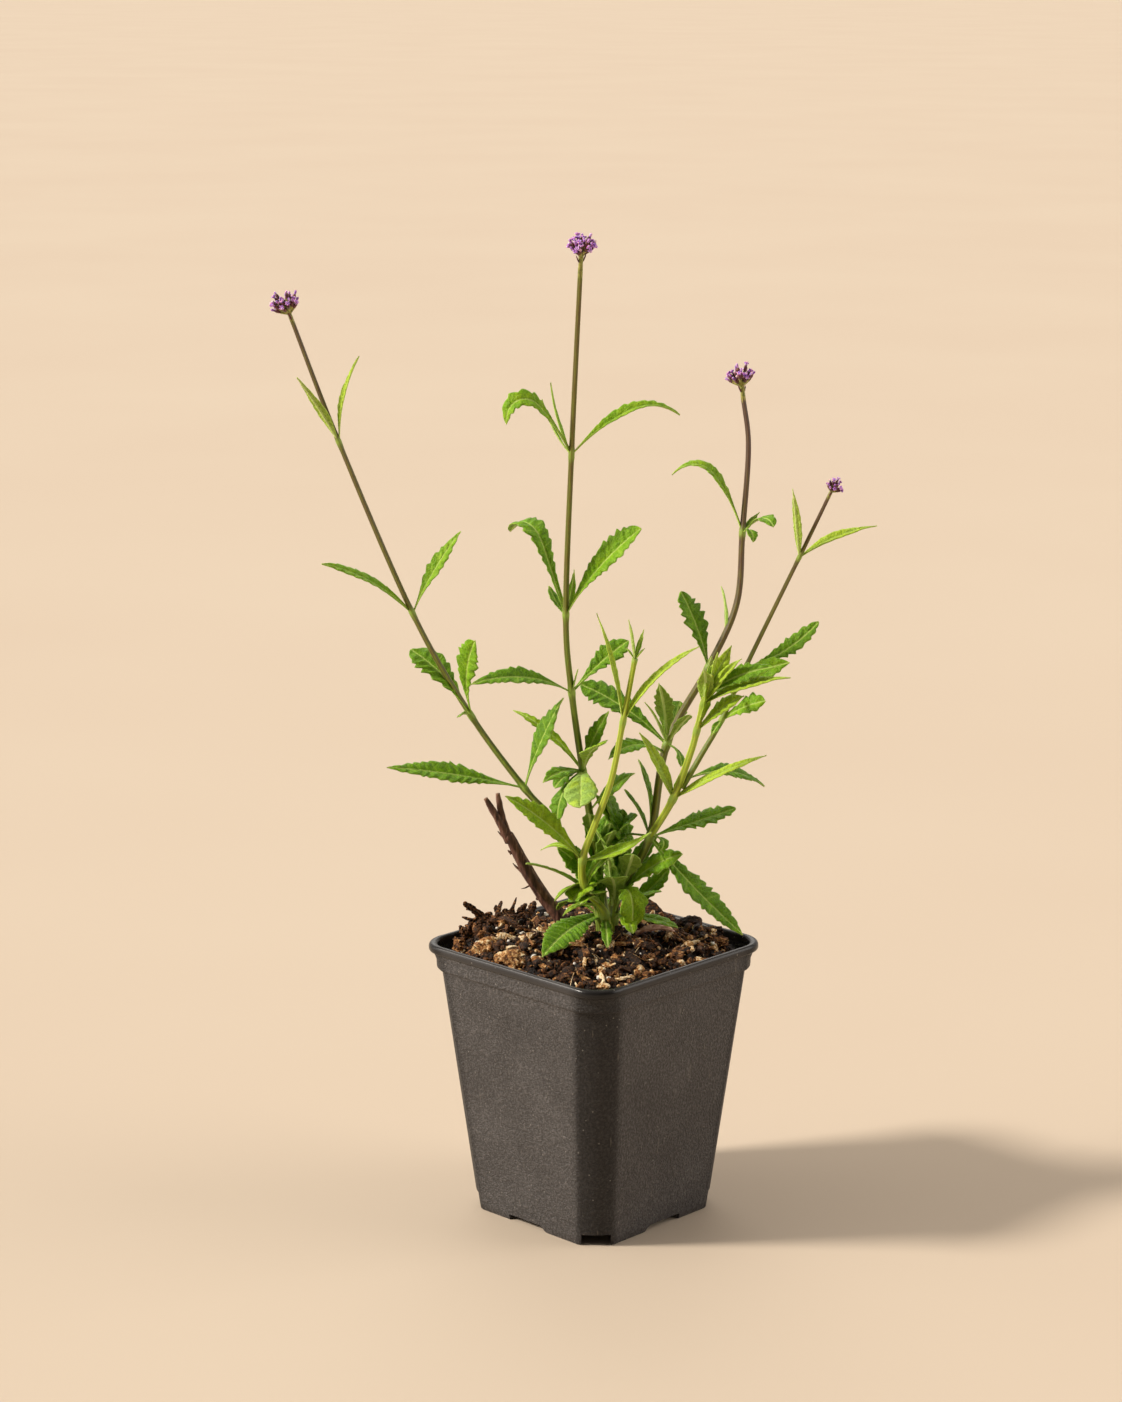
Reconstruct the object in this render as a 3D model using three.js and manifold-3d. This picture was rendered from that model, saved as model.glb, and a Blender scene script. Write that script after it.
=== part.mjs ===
// A young purpletop verbena in a square nursery pot: the pot, its potting mix, a cut-back cane, the flowering
// stems and side shoots, the flower heads and the leaves. Millimetres, +Z up, standing on z = 0, with the
// sides of the pot along X and Y. The origin is the middle of the bounding box's underside.
import * as THREE from "three";
import { mergeVertices } from "three/addons/utils/BufferGeometryUtils.js";
import Module from "manifold-3d";

const wasm = await Module();
wasm.setup();

// ---------------------------------------------------------------------------------------------------
// Driving dimensions
// ---------------------------------------------------------------------------------------------------

const CLEARANCE = 0.3; // between pieces that touch

const POT_HEIGHT = 100;
const POT_FOOT_HALF = 33.2; // half of a side, at the foot
const POT_SHOULDER_HALF = 43.2; // at the top of the tapered body
const POT_SHOULDER_HEIGHT = 90.5;
const POT_BAND_HALF = 43.9;
const POT_LIP_HALF = 45;
const POT_LIP_DEPTH = 3; // height of the rolled lip
const POT_WALL = 1.2;
const POT_LIP_WIDTH = 2.4;
const POT_FLOOR_UNDERSIDE = 4;
const POT_FLOOR_THICKNESS = 1.2;
const POT_FOOT_CHAMFER = 9.4; // how far the corner reaches along a side
const POT_TOP_CHAMFER = 12.4;
const POT_CORNER_BULGE = 0.2; // bow of the corner, as a share of its chamfer

const CORNER_NOTCH_WIDTH = 10.4;
const SIDE_NOTCH_HEIGHT = 2.2;
const SIDE_NOTCH_START = -10; // along the side, from its middle
const SIDE_NOTCH_END = 8.6;
const SIDE_NOTCH_SLANT = 3;
const DRAIN_RADIUS = 3.5;
const DRAIN_OFFSET = 20;

const SOIL_RIM_HEIGHT = 95.4;
const SOIL_CROWN_HEIGHT = 102.2;

const PLANT_TURN = THREE.MathUtils.degToRad(43.5); // the plant's own frame against the pot's sides
const STEM_SIDES = 8;
const STEM_STEPS_PER_SPAN = 3;
const LEAF_STEPS = 7;
const LEAF_THICKNESS = 0.5;
const LEAF_FOLD = 0.25; // rise of the margins over the midrib, as a share of the half width
const LEAF_STALK = 0.14; // width at the base, as a share of the widest
const LEAF_TIP_HALF = 0.25; // half width of the blunt tip
const CURL_START = 0.5; // share of the length where a curled tip begins to turn

// ---------------------------------------------------------------------------------------------------
// The plant's habit, in the plant's own frame: x to its right, y to its back, z up, from the pot's axis
// ---------------------------------------------------------------------------------------------------

// Each stem: radius at the base, radius at the top, the stem it springs from, and its route by hand.
const STEMS = {
  stem_a: [1.4, 0.8, null, [
    [1, 1, 86], [2, 2, 108], [-4, 2, 127], [-16, 4, 145], [-25, 6, 155],
    [-44, 12, 180], [-65, 19, 216], [-91, 28, 276], [-108, 34, 320],
  ]],
  stem_b: [1.5, 0.8, null, [
    [5, 6, 86], [4, 6, 108], [1, 7, 128], [-2, 7, 148], [-4, 6, 161],
    [-8, 2, 191], [-10, -3, 220], [-8, -12, 278], [-5, -24, 342],
  ]],
  stem_c: [1.6, 0.85, null, [
    [9, 1, 86], [7, 1, 108], [10, 1, 120], [20, 2, 138], [26, 11, 170],
    [41, 21, 196], [51, 27, 218], [53, 32, 243], [55, 37, 273], [53, 41, 291],
  ]],
  side_shoot_f: [1.3, 0.8, "stem_c", [
    [20, 2, 138], [28, -5, 154], [34, -9, 172], [36, -10, 180], [38, -12, 190], [41, -14, 201],
  ]],
  stem_d: [1, 0.7, "side_shoot_f", [
    [31, -6, 158], [38, -4, 170], [45, -2, 182], [53, -3, 201], [71, -10, 242], [81, -14, 265],
  ]],
  side_shoot_e: [1.5, 0.8, null, [
    [5, -4, 86], [4, -3, 110], [-3, -7, 121], [-4, -11, 133], [0, -14, 146],
    [6, -18, 164], [10, -22, 186], [14, -25, 209],
  ]],
};

// Leaf outlines: where along the leaf it is widest, fullness of the base side, fullness of the tip side.
const FORMS = {
  strap: [0.35, 0.8, 1],
  lance: [0.5, 1.2, 0.85],
  spoon: [0.68, 1.5, 0.6],
};

// Each leaf: stem, joint along the stem's route, tip from the joint [right, back, up], height of the
// arch, width, roll in degrees, curl of the tip in degrees, form.
const LEAVES = {
  leaf_a1_left: ["stem_a", 7, [-14, -6, 24], 1, 4, -10, 0, "strap"],
  leaf_a1_right: ["stem_a", 7, [7, 6, 30], 2, 5, 20, 0, "lance"],
  leaf_a2_left: ["stem_a", 6, [-31, -12, 20], 3, 7, -15, 0, "lance"],
  leaf_a2_right: ["stem_a", 6, [17, 9, 28], 1, 7, 15, 0, "lance"],
  leaf_a3_left: ["stem_a", 5, [-22, 10, 22], 3, 12, -40, 0, "spoon"],
  leaf_a3_right: ["stem_a", 5, [2, -13, 30], 3, 10, 10, 0, "spoon"],
  leaf_a4_left: ["stem_a", 4, [-48, -14, 11], 1, 10, -20, 0, "lance"],
  leaf_a4_right: ["stem_a", 4, [14, -9, 35], 1, 11, 45, 0, "lance"],
  leaf_b1_left: ["stem_b", 7, [-23, -12, 30], 2, 7, -20, 110, "lance"],
  leaf_b1_right: ["stem_b", 7, [38, 8, 20], 4, 6, 10, 40, "lance"],
  leaf_b2_left: ["stem_b", 6, [-15, 10, 44], 0, 9, -35, 80, "spoon"],
  leaf_b2_right: ["stem_b", 6, [26, -8, 32], 2, 12, 40, 0, "spoon"],
  leaf_b3_left: ["stem_b", 5, [-35, -14, 6], 4, 8, -20, 0, "lance"],
  leaf_b3_right: ["stem_b", 5, [20, 8, 17], 1, 9, 20, 0, "spoon"],
  leaf_b5_left: ["stem_b", 4, [-25, 11, 20], 3, 4, -20, 0, "lance"],
  leaf_b5_up: ["stem_b", 4, [9, -4, 23], 1, 6, 50, 0, "lance"],
  leaf_b5_pale: ["stem_b", 4, [0, -22, -11], 5, 12, 0, 0, "spoon"],
  leaf_c1_left: ["stem_c", 7, [-22, 6, 33], 3, 7, -20, 80, "lance"],
  leaf_c2_left: ["stem_c", 5, [-10, 8, 26], 1, 11, -30, 0, "spoon"],
  leaf_c3_left: ["stem_c", 4, [-31, 8, 20], 2, 12, -30, 0, "spoon"],
  leaf_c3_up: ["stem_c", 4, [-3, -8, 24], 1, 7, 20, 0, "lance"],
  leaf_c3_front: ["stem_c", 3.9, [-20, -17, 2], 4, 8, -20, 0, "lance"],
  leaf_c4_long: ["stem_c", 3, [33, -14, -32], -1, 11, 30, 0, "lance"],
  leaf_c4_right: ["stem_c", 3, [31, 10, 8], 0, 9, 20, 0, "spoon"],
  leaf_c4_up: ["stem_c", 3, [-4, 10, 26], 2, 8, 0, 0, "lance"],
  leaf_d1_left: ["stem_d", 4, [-3, -7, 25], 0, 4, 40, 0, "strap"],
  leaf_d1_right: ["stem_d", 4, [27, 6, 10], 2, 5, 0, 0, "strap"],
  leaf_d2_far: ["stem_d", 3, [26, 8, 15], -3, 8, 20, 0, "spoon"],
  leaf_d2_right: ["stem_d", 2.6, [19, -8, 13], 2, 8, 20, 0, "lance"],
  leaf_d3_right: ["stem_d", 2, [15, -5, 8], 1, 8, 20, 0, "spoon"],
  leaf_d4_right: ["stem_d", 0.3, [28, 16, -7], 4, 9, 10, 0, "lance"],
  leaf_e1_left: ["side_shoot_e", 3, [-27, -6, 25], 2, 9, -35, 0, "lance"],
  leaf_e1_right: ["side_shoot_e", 3, [24, -6, 12], -2, 6, 10, 0, "strap"],
  leaf_e2_left: ["side_shoot_e", 6, [-9, -3, 39], 1, 5, -40, 0, "strap"],
  leaf_e2_right: ["side_shoot_e", 6, [26, -5, 28], 3, 6, 30, 0, "strap"],
  leaf_f2_left: ["side_shoot_f", 1, [-12, -4, 25], 1, 7, -30, 0, "strap"],
  leaf_f2_right: ["side_shoot_f", 1, [32, -12, 19], 1, 5, 15, 0, "strap"],
  leaf_f4_right: ["side_shoot_f", 4, [30, -6, 11], 2, 7, 15, 0, "strap"],
  leaf_low_wing: ["stem_b", 1, [-17, -8, 27], 3, 9, -30, 0, "spoon"],
  leaf_base_front: ["stem_b", 1, [-21, -32, -6], 1, 11, -10, 0, "lance"],
  leaf_base_arch: ["stem_c", 1, [9, -15, -4], 8, 10, 0, 20, "spoon"],
  leaf_base_right: ["stem_c", 1, [23, -8, -1], 2, 7, 10, 0, "spoon"],
  leaf_base_side: ["stem_c", 1, [20, 2, 18], -1, 8, 10, 0, "spoon"],
};

const FLORETS = 10; // on each head
const FLORET_LEANS = [0.4, 0.95]; // radians from the head's axis, by turns

// Each flower head: its stem, radius and height.
const FLOWER_HEADS = {
  flower_head_a: ["stem_a", 5.6, 9],
  flower_head_b: ["stem_b", 6, 9.5],
  flower_head_c: ["stem_c", 5.4, 9],
  flower_head_d: ["stem_d", 3, 5.5],
};

// The cut-back cane: its route, and the routes of the two prongs of its broken top.
const CANE_BASE_RADIUS = 2.7;
const CANE_TOP_RADIUS = 1.5;
const CANE_PRONG_RADIUS = 0.9;
const CANE = [[-4, 12, 86], [-12, 11, 105], [-18, 11, 113], [-24, 10, 123], [-28, 10, 131], [-32, 9, 140]];
const CANE_PRONGS = [
  [[-31.5, 9, 139], [-35, 8.5, 144], [-39, 8, 150]],
  [[-31.5, 9, 139], [-33, 9.5, 145], [-35, 10, 151]],
];

// Each bark chip on the mix: where it lies, its three half sizes and its turn about z in degrees.
const BARK_CHIPS = {
  bark_chip_tan: [[-38, -14], [5, 3.4, 3], 30],
  bark_chip_front: [[-27, -26], [4.6, 3.4, 2.6], -20],
  bark_chip_back: [[-31, 21], [6, 2.6, 4.5], 15],
  bark_chip_wedge: [[25, 28], [5.5, 3.4, 4.5], -35],
};

// ---------------------------------------------------------------------------------------------------
// Materials
// ---------------------------------------------------------------------------------------------------

function material(color, roughness) {
  return new THREE.MeshStandardMaterial({ color, roughness, metalness: 0 });
}

const POT_PLASTIC = material(0x3b3836, 0.6);
const POTTING_MIX = material(0x2c1b10, 0.95);
const BARK = material(0x8a5c36, 0.9);
const CANE_WOOD = material(0x5a3a2a, 0.85);
const STEM_GREEN = material(0x66663a, 0.6);
const SHOOT_GREEN = material(0x93b53a, 0.55);
const LEAF_GREEN = material(0x4f8a24, 0.55);
const FLOWER_PURPLE = material(0x8a5aa8, 0.6);

// ---------------------------------------------------------------------------------------------------
// Solids
// ---------------------------------------------------------------------------------------------------

// The geometry with its shared vertices merged and each vertex moved to where place() puts it.
function reshape(geometry, place) {
  geometry.deleteAttribute("normal");
  geometry.deleteAttribute("uv");
  const welded = mergeVertices(geometry, 1e-4);
  const position = welded.getAttribute("position");
  const vertex = new THREE.Vector3();
  for (let i = 0; i < position.count; i += 1) {
    vertex.fromBufferAttribute(position, i);
    position.setXYZ(i, ...place(vertex).toArray());
  }
  return welded;
}

function solidOf(geometry) {
  const welded = reshape(geometry.clone(), (vertex) => vertex);
  return new wasm.Manifold(
    new wasm.Mesh({
      numProp: 3,
      vertProperties: welded.getAttribute("position").array,
      triVerts: Uint32Array.from(welded.index.array),
    }),
  );
}

function geometryOf(solid) {
  const mesh = solid.getMesh();
  const geometry = new THREE.BufferGeometry();
  geometry.setAttribute("position", new THREE.BufferAttribute(mesh.vertProperties, 3));
  geometry.setIndex(new THREE.BufferAttribute(mesh.triVerts, 1));
  const flat = geometry.toNonIndexed();
  flat.computeVertexNormals();
  return flat;
}

function largestBody(solid) {
  return solid.decompose().reduce((best, body) => (body.volume() > best.volume() ? body : best));
}

function union(solids) {
  return solids.reduce((joined, solid) => joined.add(solid));
}

// ---------------------------------------------------------------------------------------------------
// Pot and potting mix
// ---------------------------------------------------------------------------------------------------

const OUTLINE_POINTS = 32;
const POINTS_PER_SIDE = OUTLINE_POINTS / 4;

// A turned profile drawn out to the pot's outline: the point at radius r, a share of the way round, lies on
// a square of half side r whose corners are low arcs.
function squared(profile) {
  const turned = new THREE.LatheGeometry(
    profile.map(([radius, height]) => new THREE.Vector2(radius, height)),
    OUTLINE_POINTS,
  );
  turned.rotateX(Math.PI / 2);
  return reshape(turned, (vertex) => {
    const half = Math.hypot(vertex.x, vertex.y);
    if (half < 1e-3) return vertex;
    const share = Math.atan2(vertex.y, vertex.x) / (2 * Math.PI) + 1;
    const step = Math.round(share * OUTLINE_POINTS) % OUTLINE_POINTS;
    const side = Math.floor((step + POINTS_PER_SIDE / 2) / POINTS_PER_SIDE);
    const chamfer = THREE.MathUtils.mapLinear(
      half, POT_FOOT_HALF, POT_LIP_HALF, POT_FOOT_CHAMFER, POT_TOP_CHAMFER,
    );
    const corner = Math.max(chamfer, 0.2 * half);
    const along = alongSide(step - side * POINTS_PER_SIDE, half, corner);
    return along.applyAxisAngle(new THREE.Vector3(0, 0, 1), (side * Math.PI) / 2).setZ(vertex.z);
  });
}

// The outline's point a number of steps from the middle of the side that faces +X.
function alongSide(step, half, corner) {
  const stepsToCorner = 1;
  const reach = half - corner;
  if (Math.abs(step) <= stepsToCorner) return new THREE.Vector3(half, reach * step, 0);
  const cornerSteps = POINTS_PER_SIDE / 2 - stepsToCorner;
  const share = (Math.abs(step) - stepsToCorner) / (2 * cornerSteps);
  const bow = POT_CORNER_BULGE * corner * Math.sin(Math.PI * share) * Math.SQRT1_2;
  const sign = Math.sign(step);
  return new THREE.Vector3(half - corner * share + bow, sign * (reach + corner * share + bow), 0);
}

// Half of a side of the tapered body, outside, at a height.
function potHalf(height) {
  return THREE.MathUtils.mapLinear(height, 0, POT_SHOULDER_HEIGHT, POT_FOOT_HALF, POT_SHOULDER_HALF);
}

// The foot's cut-outs are tools to subtract from the pot.
function sideNotches() {
  const slot = new THREE.Shape();
  slot.moveTo(SIDE_NOTCH_START, -1);
  slot.lineTo(SIDE_NOTCH_END, -1);
  slot.lineTo(SIDE_NOTCH_END, 0);
  slot.lineTo(SIDE_NOTCH_END - SIDE_NOTCH_SLANT, SIDE_NOTCH_HEIGHT);
  slot.lineTo(SIDE_NOTCH_START, SIDE_NOTCH_HEIGHT);
  const through = new THREE.ExtrudeGeometry(slot, { depth: 6, bevelEnabled: false });
  through.rotateX(Math.PI / 2);
  through.translate(0, -POT_FOOT_HALF + 4, 0);
  const mirrored = solidOf(through).mirror([1, 1, 0]);
  const front = solidOf(through);
  return union([front, mirrored, front.rotate([0, 0, 180]), mirrored.rotate([0, 0, 180])]);
}

function cornerNotches() {
  const block = new THREE.BoxGeometry(12, CORNER_NOTCH_WIDTH, POT_FLOOR_UNDERSIDE + 1);
  const middle = (POT_FOOT_HALF - POT_FOOT_CHAMFER / 2) * Math.SQRT2;
  block.translate(middle, 0, (POT_FLOOR_UNDERSIDE - 1) / 2);
  return union([45, 135, 225, 315].map((angle) => solidOf(block).rotate([0, 0, angle])));
}

function drainHoles() {
  const hole = new THREE.CylinderGeometry(DRAIN_RADIUS, DRAIN_RADIUS, 4, 16);
  hole.rotateX(Math.PI / 2);
  hole.translate(0, 0, POT_FLOOR_UNDERSIDE + POT_FLOOR_THICKNESS / 2);
  const middleHole = solidOf(hole);
  const outerHole = middleHole.translate([DRAIN_OFFSET, DRAIN_OFFSET, 0]);
  return union([middleHole, ...[0, 90, 180, 270].map((angle) => outerHole.rotate([0, 0, angle]))]);
}

function potGeometry() {
  const floorTop = POT_FLOOR_UNDERSIDE + POT_FLOOR_THICKNESS;
  const lipStart = POT_HEIGHT - POT_LIP_DEPTH;
  const lipInside = POT_LIP_HALF - POT_LIP_WIDTH;
  const edge = 0.5; // rounding of the lip's edges
  const shell = squared([
    [0, POT_FLOOR_UNDERSIDE],
    [potHalf(POT_FLOOR_UNDERSIDE) - POT_WALL, POT_FLOOR_UNDERSIDE],
    [POT_FOOT_HALF - POT_WALL, 0],
    [POT_FOOT_HALF, 0],
    [POT_SHOULDER_HALF, POT_SHOULDER_HEIGHT],
    [POT_BAND_HALF, POT_SHOULDER_HEIGHT + 0.7],
    [POT_BAND_HALF, lipStart - 0.3],
    [POT_LIP_HALF, lipStart + 0.3],
    [POT_LIP_HALF, POT_HEIGHT - edge],
    [POT_LIP_HALF - edge, POT_HEIGHT],
    [lipInside + edge, POT_HEIGHT],
    [lipInside, POT_HEIGHT - edge],
    [lipInside, POT_SHOULDER_HEIGHT + 0.7],
    [POT_SHOULDER_HALF - POT_WALL, POT_SHOULDER_HEIGHT],
    [potHalf(floorTop) - POT_WALL, floorTop],
    [0, floorTop],
  ]);
  return geometryOf(solidOf(shell).subtract(union([sideNotches(), cornerNotches(), drainHoles()])));
}

// The mounded mix, which fills the pot down to its floor.
function soilGeometry() {
  const bottom = POT_FLOOR_UNDERSIDE + POT_FLOOR_THICKNESS + CLEARANCE;
  const gap = POT_WALL + 2 * CLEARANCE;
  const rimHalf = POT_SHOULDER_HALF - gap;
  const profile = [
    [0, bottom],
    [potHalf(bottom) - gap, bottom],
    [rimHalf, POT_SHOULDER_HEIGHT],
    [rimHalf, SOIL_RIM_HEIGHT],
  ];
  for (const share of [0.85, 0.65, 0.45, 0.22, 0]) profile.push([share * rimHalf, soilHeight(share)]);
  return squared(profile);
}

// Height of the mix at a share of the way from the pot's axis to its wall.
function soilHeight(share) {
  return THREE.MathUtils.lerp(SOIL_CROWN_HEIGHT, SOIL_RIM_HEIGHT, Math.pow(share, 1.6));
}

// ---------------------------------------------------------------------------------------------------
// Stems
// ---------------------------------------------------------------------------------------------------

function routeOf(points) {
  return new THREE.CatmullRomCurve3(
    points.map((point) => new THREE.Vector3(...point)),
    false,
    "catmullrom",
  );
}

// A tapering round bar along a route, thicker and longer all round by grow.
function barGeometry(points, baseRadius, topRadius, grow = 0) {
  const route = routeOf(points);
  const steps = STEM_STEPS_PER_SPAN * (points.length - 1);
  const bar = new THREE.CylinderGeometry(1, 1, 1, STEM_SIDES, steps);
  return reshape(bar, (vertex) => {
    const share = THREE.MathUtils.clamp(vertex.y + 0.5, 0, 1);
    const tangent = route.getTangent(share);
    const across = new THREE.Vector3(1, 0, 0).cross(tangent).normalize();
    const outward = tangent.clone().cross(across);
    const radius = THREE.MathUtils.lerp(baseRadius, topRadius, share) + grow;
    const ring = Math.round(share * steps);
    const lengthening = ring === 0 ? -grow : Math.floor(ring / steps) * grow;
    return route
      .getPoint(share)
      .addScaledVector(across, -vertex.x * radius)
      .addScaledVector(outward, vertex.z * radius)
      .addScaledVector(tangent, lengthening);
  });
}

function stemGeometry(name, grow) {
  const [baseRadius, topRadius, , points] = STEMS[name];
  return barGeometry(points, baseRadius, topRadius, grow);
}

function caneSolid(grow) {
  const trunk = solidOf(barGeometry(CANE, CANE_BASE_RADIUS, CANE_TOP_RADIUS, grow));
  const prongs = CANE_PRONGS.map((points) =>
    solidOf(barGeometry(points, CANE_PRONG_RADIUS, 0.6 * CANE_PRONG_RADIUS, grow)),
  );
  return union([trunk, ...prongs]);
}

// ---------------------------------------------------------------------------------------------------
// Leaves
// ---------------------------------------------------------------------------------------------------

// The leaf's half width at a share of its length, as a share of its widest.
function outline(form, share) {
  const [widest, baseFullness, tipFullness] = FORMS[form];
  if (share < widest) {
    const rise = Math.sin((Math.PI / 2) * (share / widest)) ** (2 * baseFullness);
    return THREE.MathUtils.lerp(LEAF_STALK, 1, rise);
  }
  return Math.cos((Math.PI / 2) * ((share - widest) / (1 - widest))) ** tipFullness;
}

// The frames along a leaf's midrib, from its joint to its tip: place, side and upper face.
function midribOf([stem, joint, tip, arch, , roll, curl]) {
  const points = STEMS[stem][3];
  const route = routeOf(points);
  const share = joint / (points.length - 1);
  const reach = new THREE.Vector3(...tip);
  const chord = reach.clone().normalize();
  const upper = route.getTangent(share).projectOnPlane(chord).normalize();
  const side = chord.clone().cross(upper);
  const place = route.getPoint(share);
  const frames = [];
  let heading = reach.clone().addScaledVector(upper, 4 * arch).normalize();
  const shortSteps = 4; // between two frames
  const total = shortSteps * LEAF_STEPS;
  for (let i = 0; i <= total; i += 1) {
    if (i % shortSteps === 0) {
      const across = side.clone().applyAxisAngle(heading, THREE.MathUtils.degToRad(roll));
      frames.push({ place: place.clone(), across, face: across.clone().cross(heading) });
    }
    const along = (i + 0.5) / total;
    const bend = THREE.MathUtils.degToRad(-curl * THREE.MathUtils.smoothstep(along, CURL_START, 1));
    const step = reach.clone().addScaledVector(upper, 4 * arch * (1 - 2 * along));
    step.multiplyScalar(1 / total).applyAxisAngle(side, bend);
    place.add(step);
    heading = step.clone().normalize();
  }
  return frames;
}

function leafGeometry(leaf) {
  const width = leaf[4];
  const form = leaf[7];
  const frames = midribOf(leaf);
  const blade = new THREE.BoxGeometry(1, 1, 1, 2, LEAF_STEPS, 1);
  return reshape(blade, (vertex) => {
    const share = vertex.y + 0.5;
    const frame = frames[Math.round(share * LEAF_STEPS)];
    const half = Math.max((outline(form, share) * width) / 2, LEAF_TIP_HALF);
    const offset = 2 * vertex.x * half;
    const rise = LEAF_FOLD * Math.abs(offset) + vertex.z * LEAF_THICKNESS;
    return frame.place.clone().addScaledVector(frame.across, offset).addScaledVector(frame.face, rise);
  });
}

// ---------------------------------------------------------------------------------------------------
// Flower heads and bark
// ---------------------------------------------------------------------------------------------------

// A flower head: a stalk that widens into a dome of blunt florets, standing on the end of its stem.
function flowerHeadGeometry([stem, radius, height]) {
  const points = STEMS[stem][3];
  const route = routeOf(points);
  const stalkRadius = STEMS[stem][1];
  const domeBase = 0.45 * height;
  const dome = new THREE.LatheGeometry(
    [
      [0, 0],
      [stalkRadius, 0],
      [stalkRadius, 0.25 * height],
      [0.7 * radius, domeBase],
      [0.75 * radius, 0.65 * height],
      [0.45 * radius, 0.85 * height],
      [0, 0.9 * height],
    ].map(([r, z]) => new THREE.Vector2(r, z)),
    10,
  );
  const parts = [solidOf(dome)];
  for (let i = 0; i < FLORETS; i += 1) {
    const floret = new THREE.CylinderGeometry(0.16 * radius, 0.11 * radius, 0.75 * height, 5);
    floret.translate(0, 0.62 * height, 0);
    floret.rotateZ(FLORET_LEANS[i % 2]);
    floret.rotateY((2 * Math.PI * i) / FLORETS);
    floret.translate(0, 0.1 * height, 0);
    parts.push(solidOf(floret));
  }
  const head = geometryOf(union(parts));
  const heading = route.getTangent(1);
  head.applyQuaternion(new THREE.Quaternion().setFromUnitVectors(new THREE.Vector3(0, 1, 0), heading));
  head.translate(...route.getPoint(1).addScaledVector(heading, CLEARANCE).toArray());
  return head;
}

// A bark chip half sunk in the mix, before the mix is cut from it.
function barkSolid([[x, y], [halfLength, halfWidth, halfHeight], turn]) {
  const chip = new THREE.IcosahedronGeometry(1, 0);
  chip.scale(halfLength, halfWidth, halfHeight);
  chip.rotateZ(THREE.MathUtils.degToRad(turn));
  const share = Math.hypot(x, y) / POT_SHOULDER_HALF;
  chip.translate(x, y, soilHeight(Math.min(share, 1)) + 0.4 * halfHeight);
  return solidOf(chip);
}

// ---------------------------------------------------------------------------------------------------
// The object
// ---------------------------------------------------------------------------------------------------

function named(name, geometry, look) {
  const mesh = new THREE.Mesh(geometry, look);
  mesh.name = name;
  return mesh;
}

const turnDegrees = THREE.MathUtils.radToDeg(PLANT_TURN);
const grownStems = Object.keys(STEMS).map((name) => solidOf(stemGeometry(name, CLEARANCE)));
const allGrownStems = union([...grownStems, caneSolid(CLEARANCE)]);

const pot = new THREE.Group();
pot.add(named("pot", potGeometry(), POT_PLASTIC));
const soilBlock = solidOf(soilGeometry());
const rootedSoil = soilBlock.subtract(allGrownStems.rotate([0, 0, turnDegrees]));
pot.add(named("potting_mix", geometryOf(rootedSoil), POTTING_MIX));

const plant = new THREE.Group();
plant.rotation.z = PLANT_TURN;
const raisedSoil = soilBlock.translate([0, 0, CLEARANCE]).rotate([0, 0, -turnDegrees]);
for (const [name, chip] of Object.entries(BARK_CHIPS)) {
  plant.add(named(name, geometryOf(largestBody(barkSolid(chip).subtract(raisedSoil))), BARK));
}
plant.add(named("cut_cane", geometryOf(caneSolid(0)), CANE_WOOD));
for (const [name, [, , parent]] of Object.entries(STEMS)) {
  const whole = solidOf(stemGeometry(name, 0));
  const free = parent ? largestBody(whole.subtract(solidOf(stemGeometry(parent, CLEARANCE)))) : whole;
  plant.add(named(name, geometryOf(free), name.startsWith("side_shoot") ? SHOOT_GREEN : STEM_GREEN));
}
for (const [name, leaf] of Object.entries(LEAVES)) {
  const free = largestBody(solidOf(leafGeometry(leaf)).subtract(allGrownStems));
  plant.add(named(name, geometryOf(free), LEAF_GREEN));
}
for (const [name, head] of Object.entries(FLOWER_HEADS)) {
  plant.add(named(name, flowerHeadGeometry(head), FLOWER_PURPLE));
}

const assembly = new THREE.Group();
assembly.add(pot, plant);
const extent = new THREE.Box3().setFromObject(assembly, true);
const middle = extent.getCenter(new THREE.Vector3());
assembly.position.set(-middle.x, -middle.y, -extent.min.z);

const root = new THREE.Group();
root.add(assembly);

export default root;
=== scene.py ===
# A young purpletop verbena in a square nursery pot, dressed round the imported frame: the moulded pot, the
# bark-rich potting mix, the cut-back cane, ridged stems, toothed leaves and small lilac flower heads.
# Shapes are worked out in millimetres and placed in metres.
import math
import random

import bmesh
import bpy
from mathutils import Matrix, Vector, noise


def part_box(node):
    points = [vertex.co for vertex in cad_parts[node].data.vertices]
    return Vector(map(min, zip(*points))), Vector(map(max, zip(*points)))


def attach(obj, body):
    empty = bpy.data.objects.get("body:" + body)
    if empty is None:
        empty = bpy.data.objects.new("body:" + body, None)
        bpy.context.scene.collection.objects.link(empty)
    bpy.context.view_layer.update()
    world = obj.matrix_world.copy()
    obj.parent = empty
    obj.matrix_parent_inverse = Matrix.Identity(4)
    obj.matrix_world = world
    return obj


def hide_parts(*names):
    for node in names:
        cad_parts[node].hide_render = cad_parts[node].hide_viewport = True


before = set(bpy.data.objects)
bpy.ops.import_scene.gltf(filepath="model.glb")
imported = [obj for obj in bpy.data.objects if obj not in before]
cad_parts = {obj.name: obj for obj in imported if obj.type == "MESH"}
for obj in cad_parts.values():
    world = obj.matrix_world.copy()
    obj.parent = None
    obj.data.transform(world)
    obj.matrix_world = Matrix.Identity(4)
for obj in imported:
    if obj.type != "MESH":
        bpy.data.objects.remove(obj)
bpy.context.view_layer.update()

# ---- Frames: the pot's, with X and Y along its sides, and the plant's, turned on the pot's axis ----

MM = 0.001
PLANT_TURN = math.radians(43.5)

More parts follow.
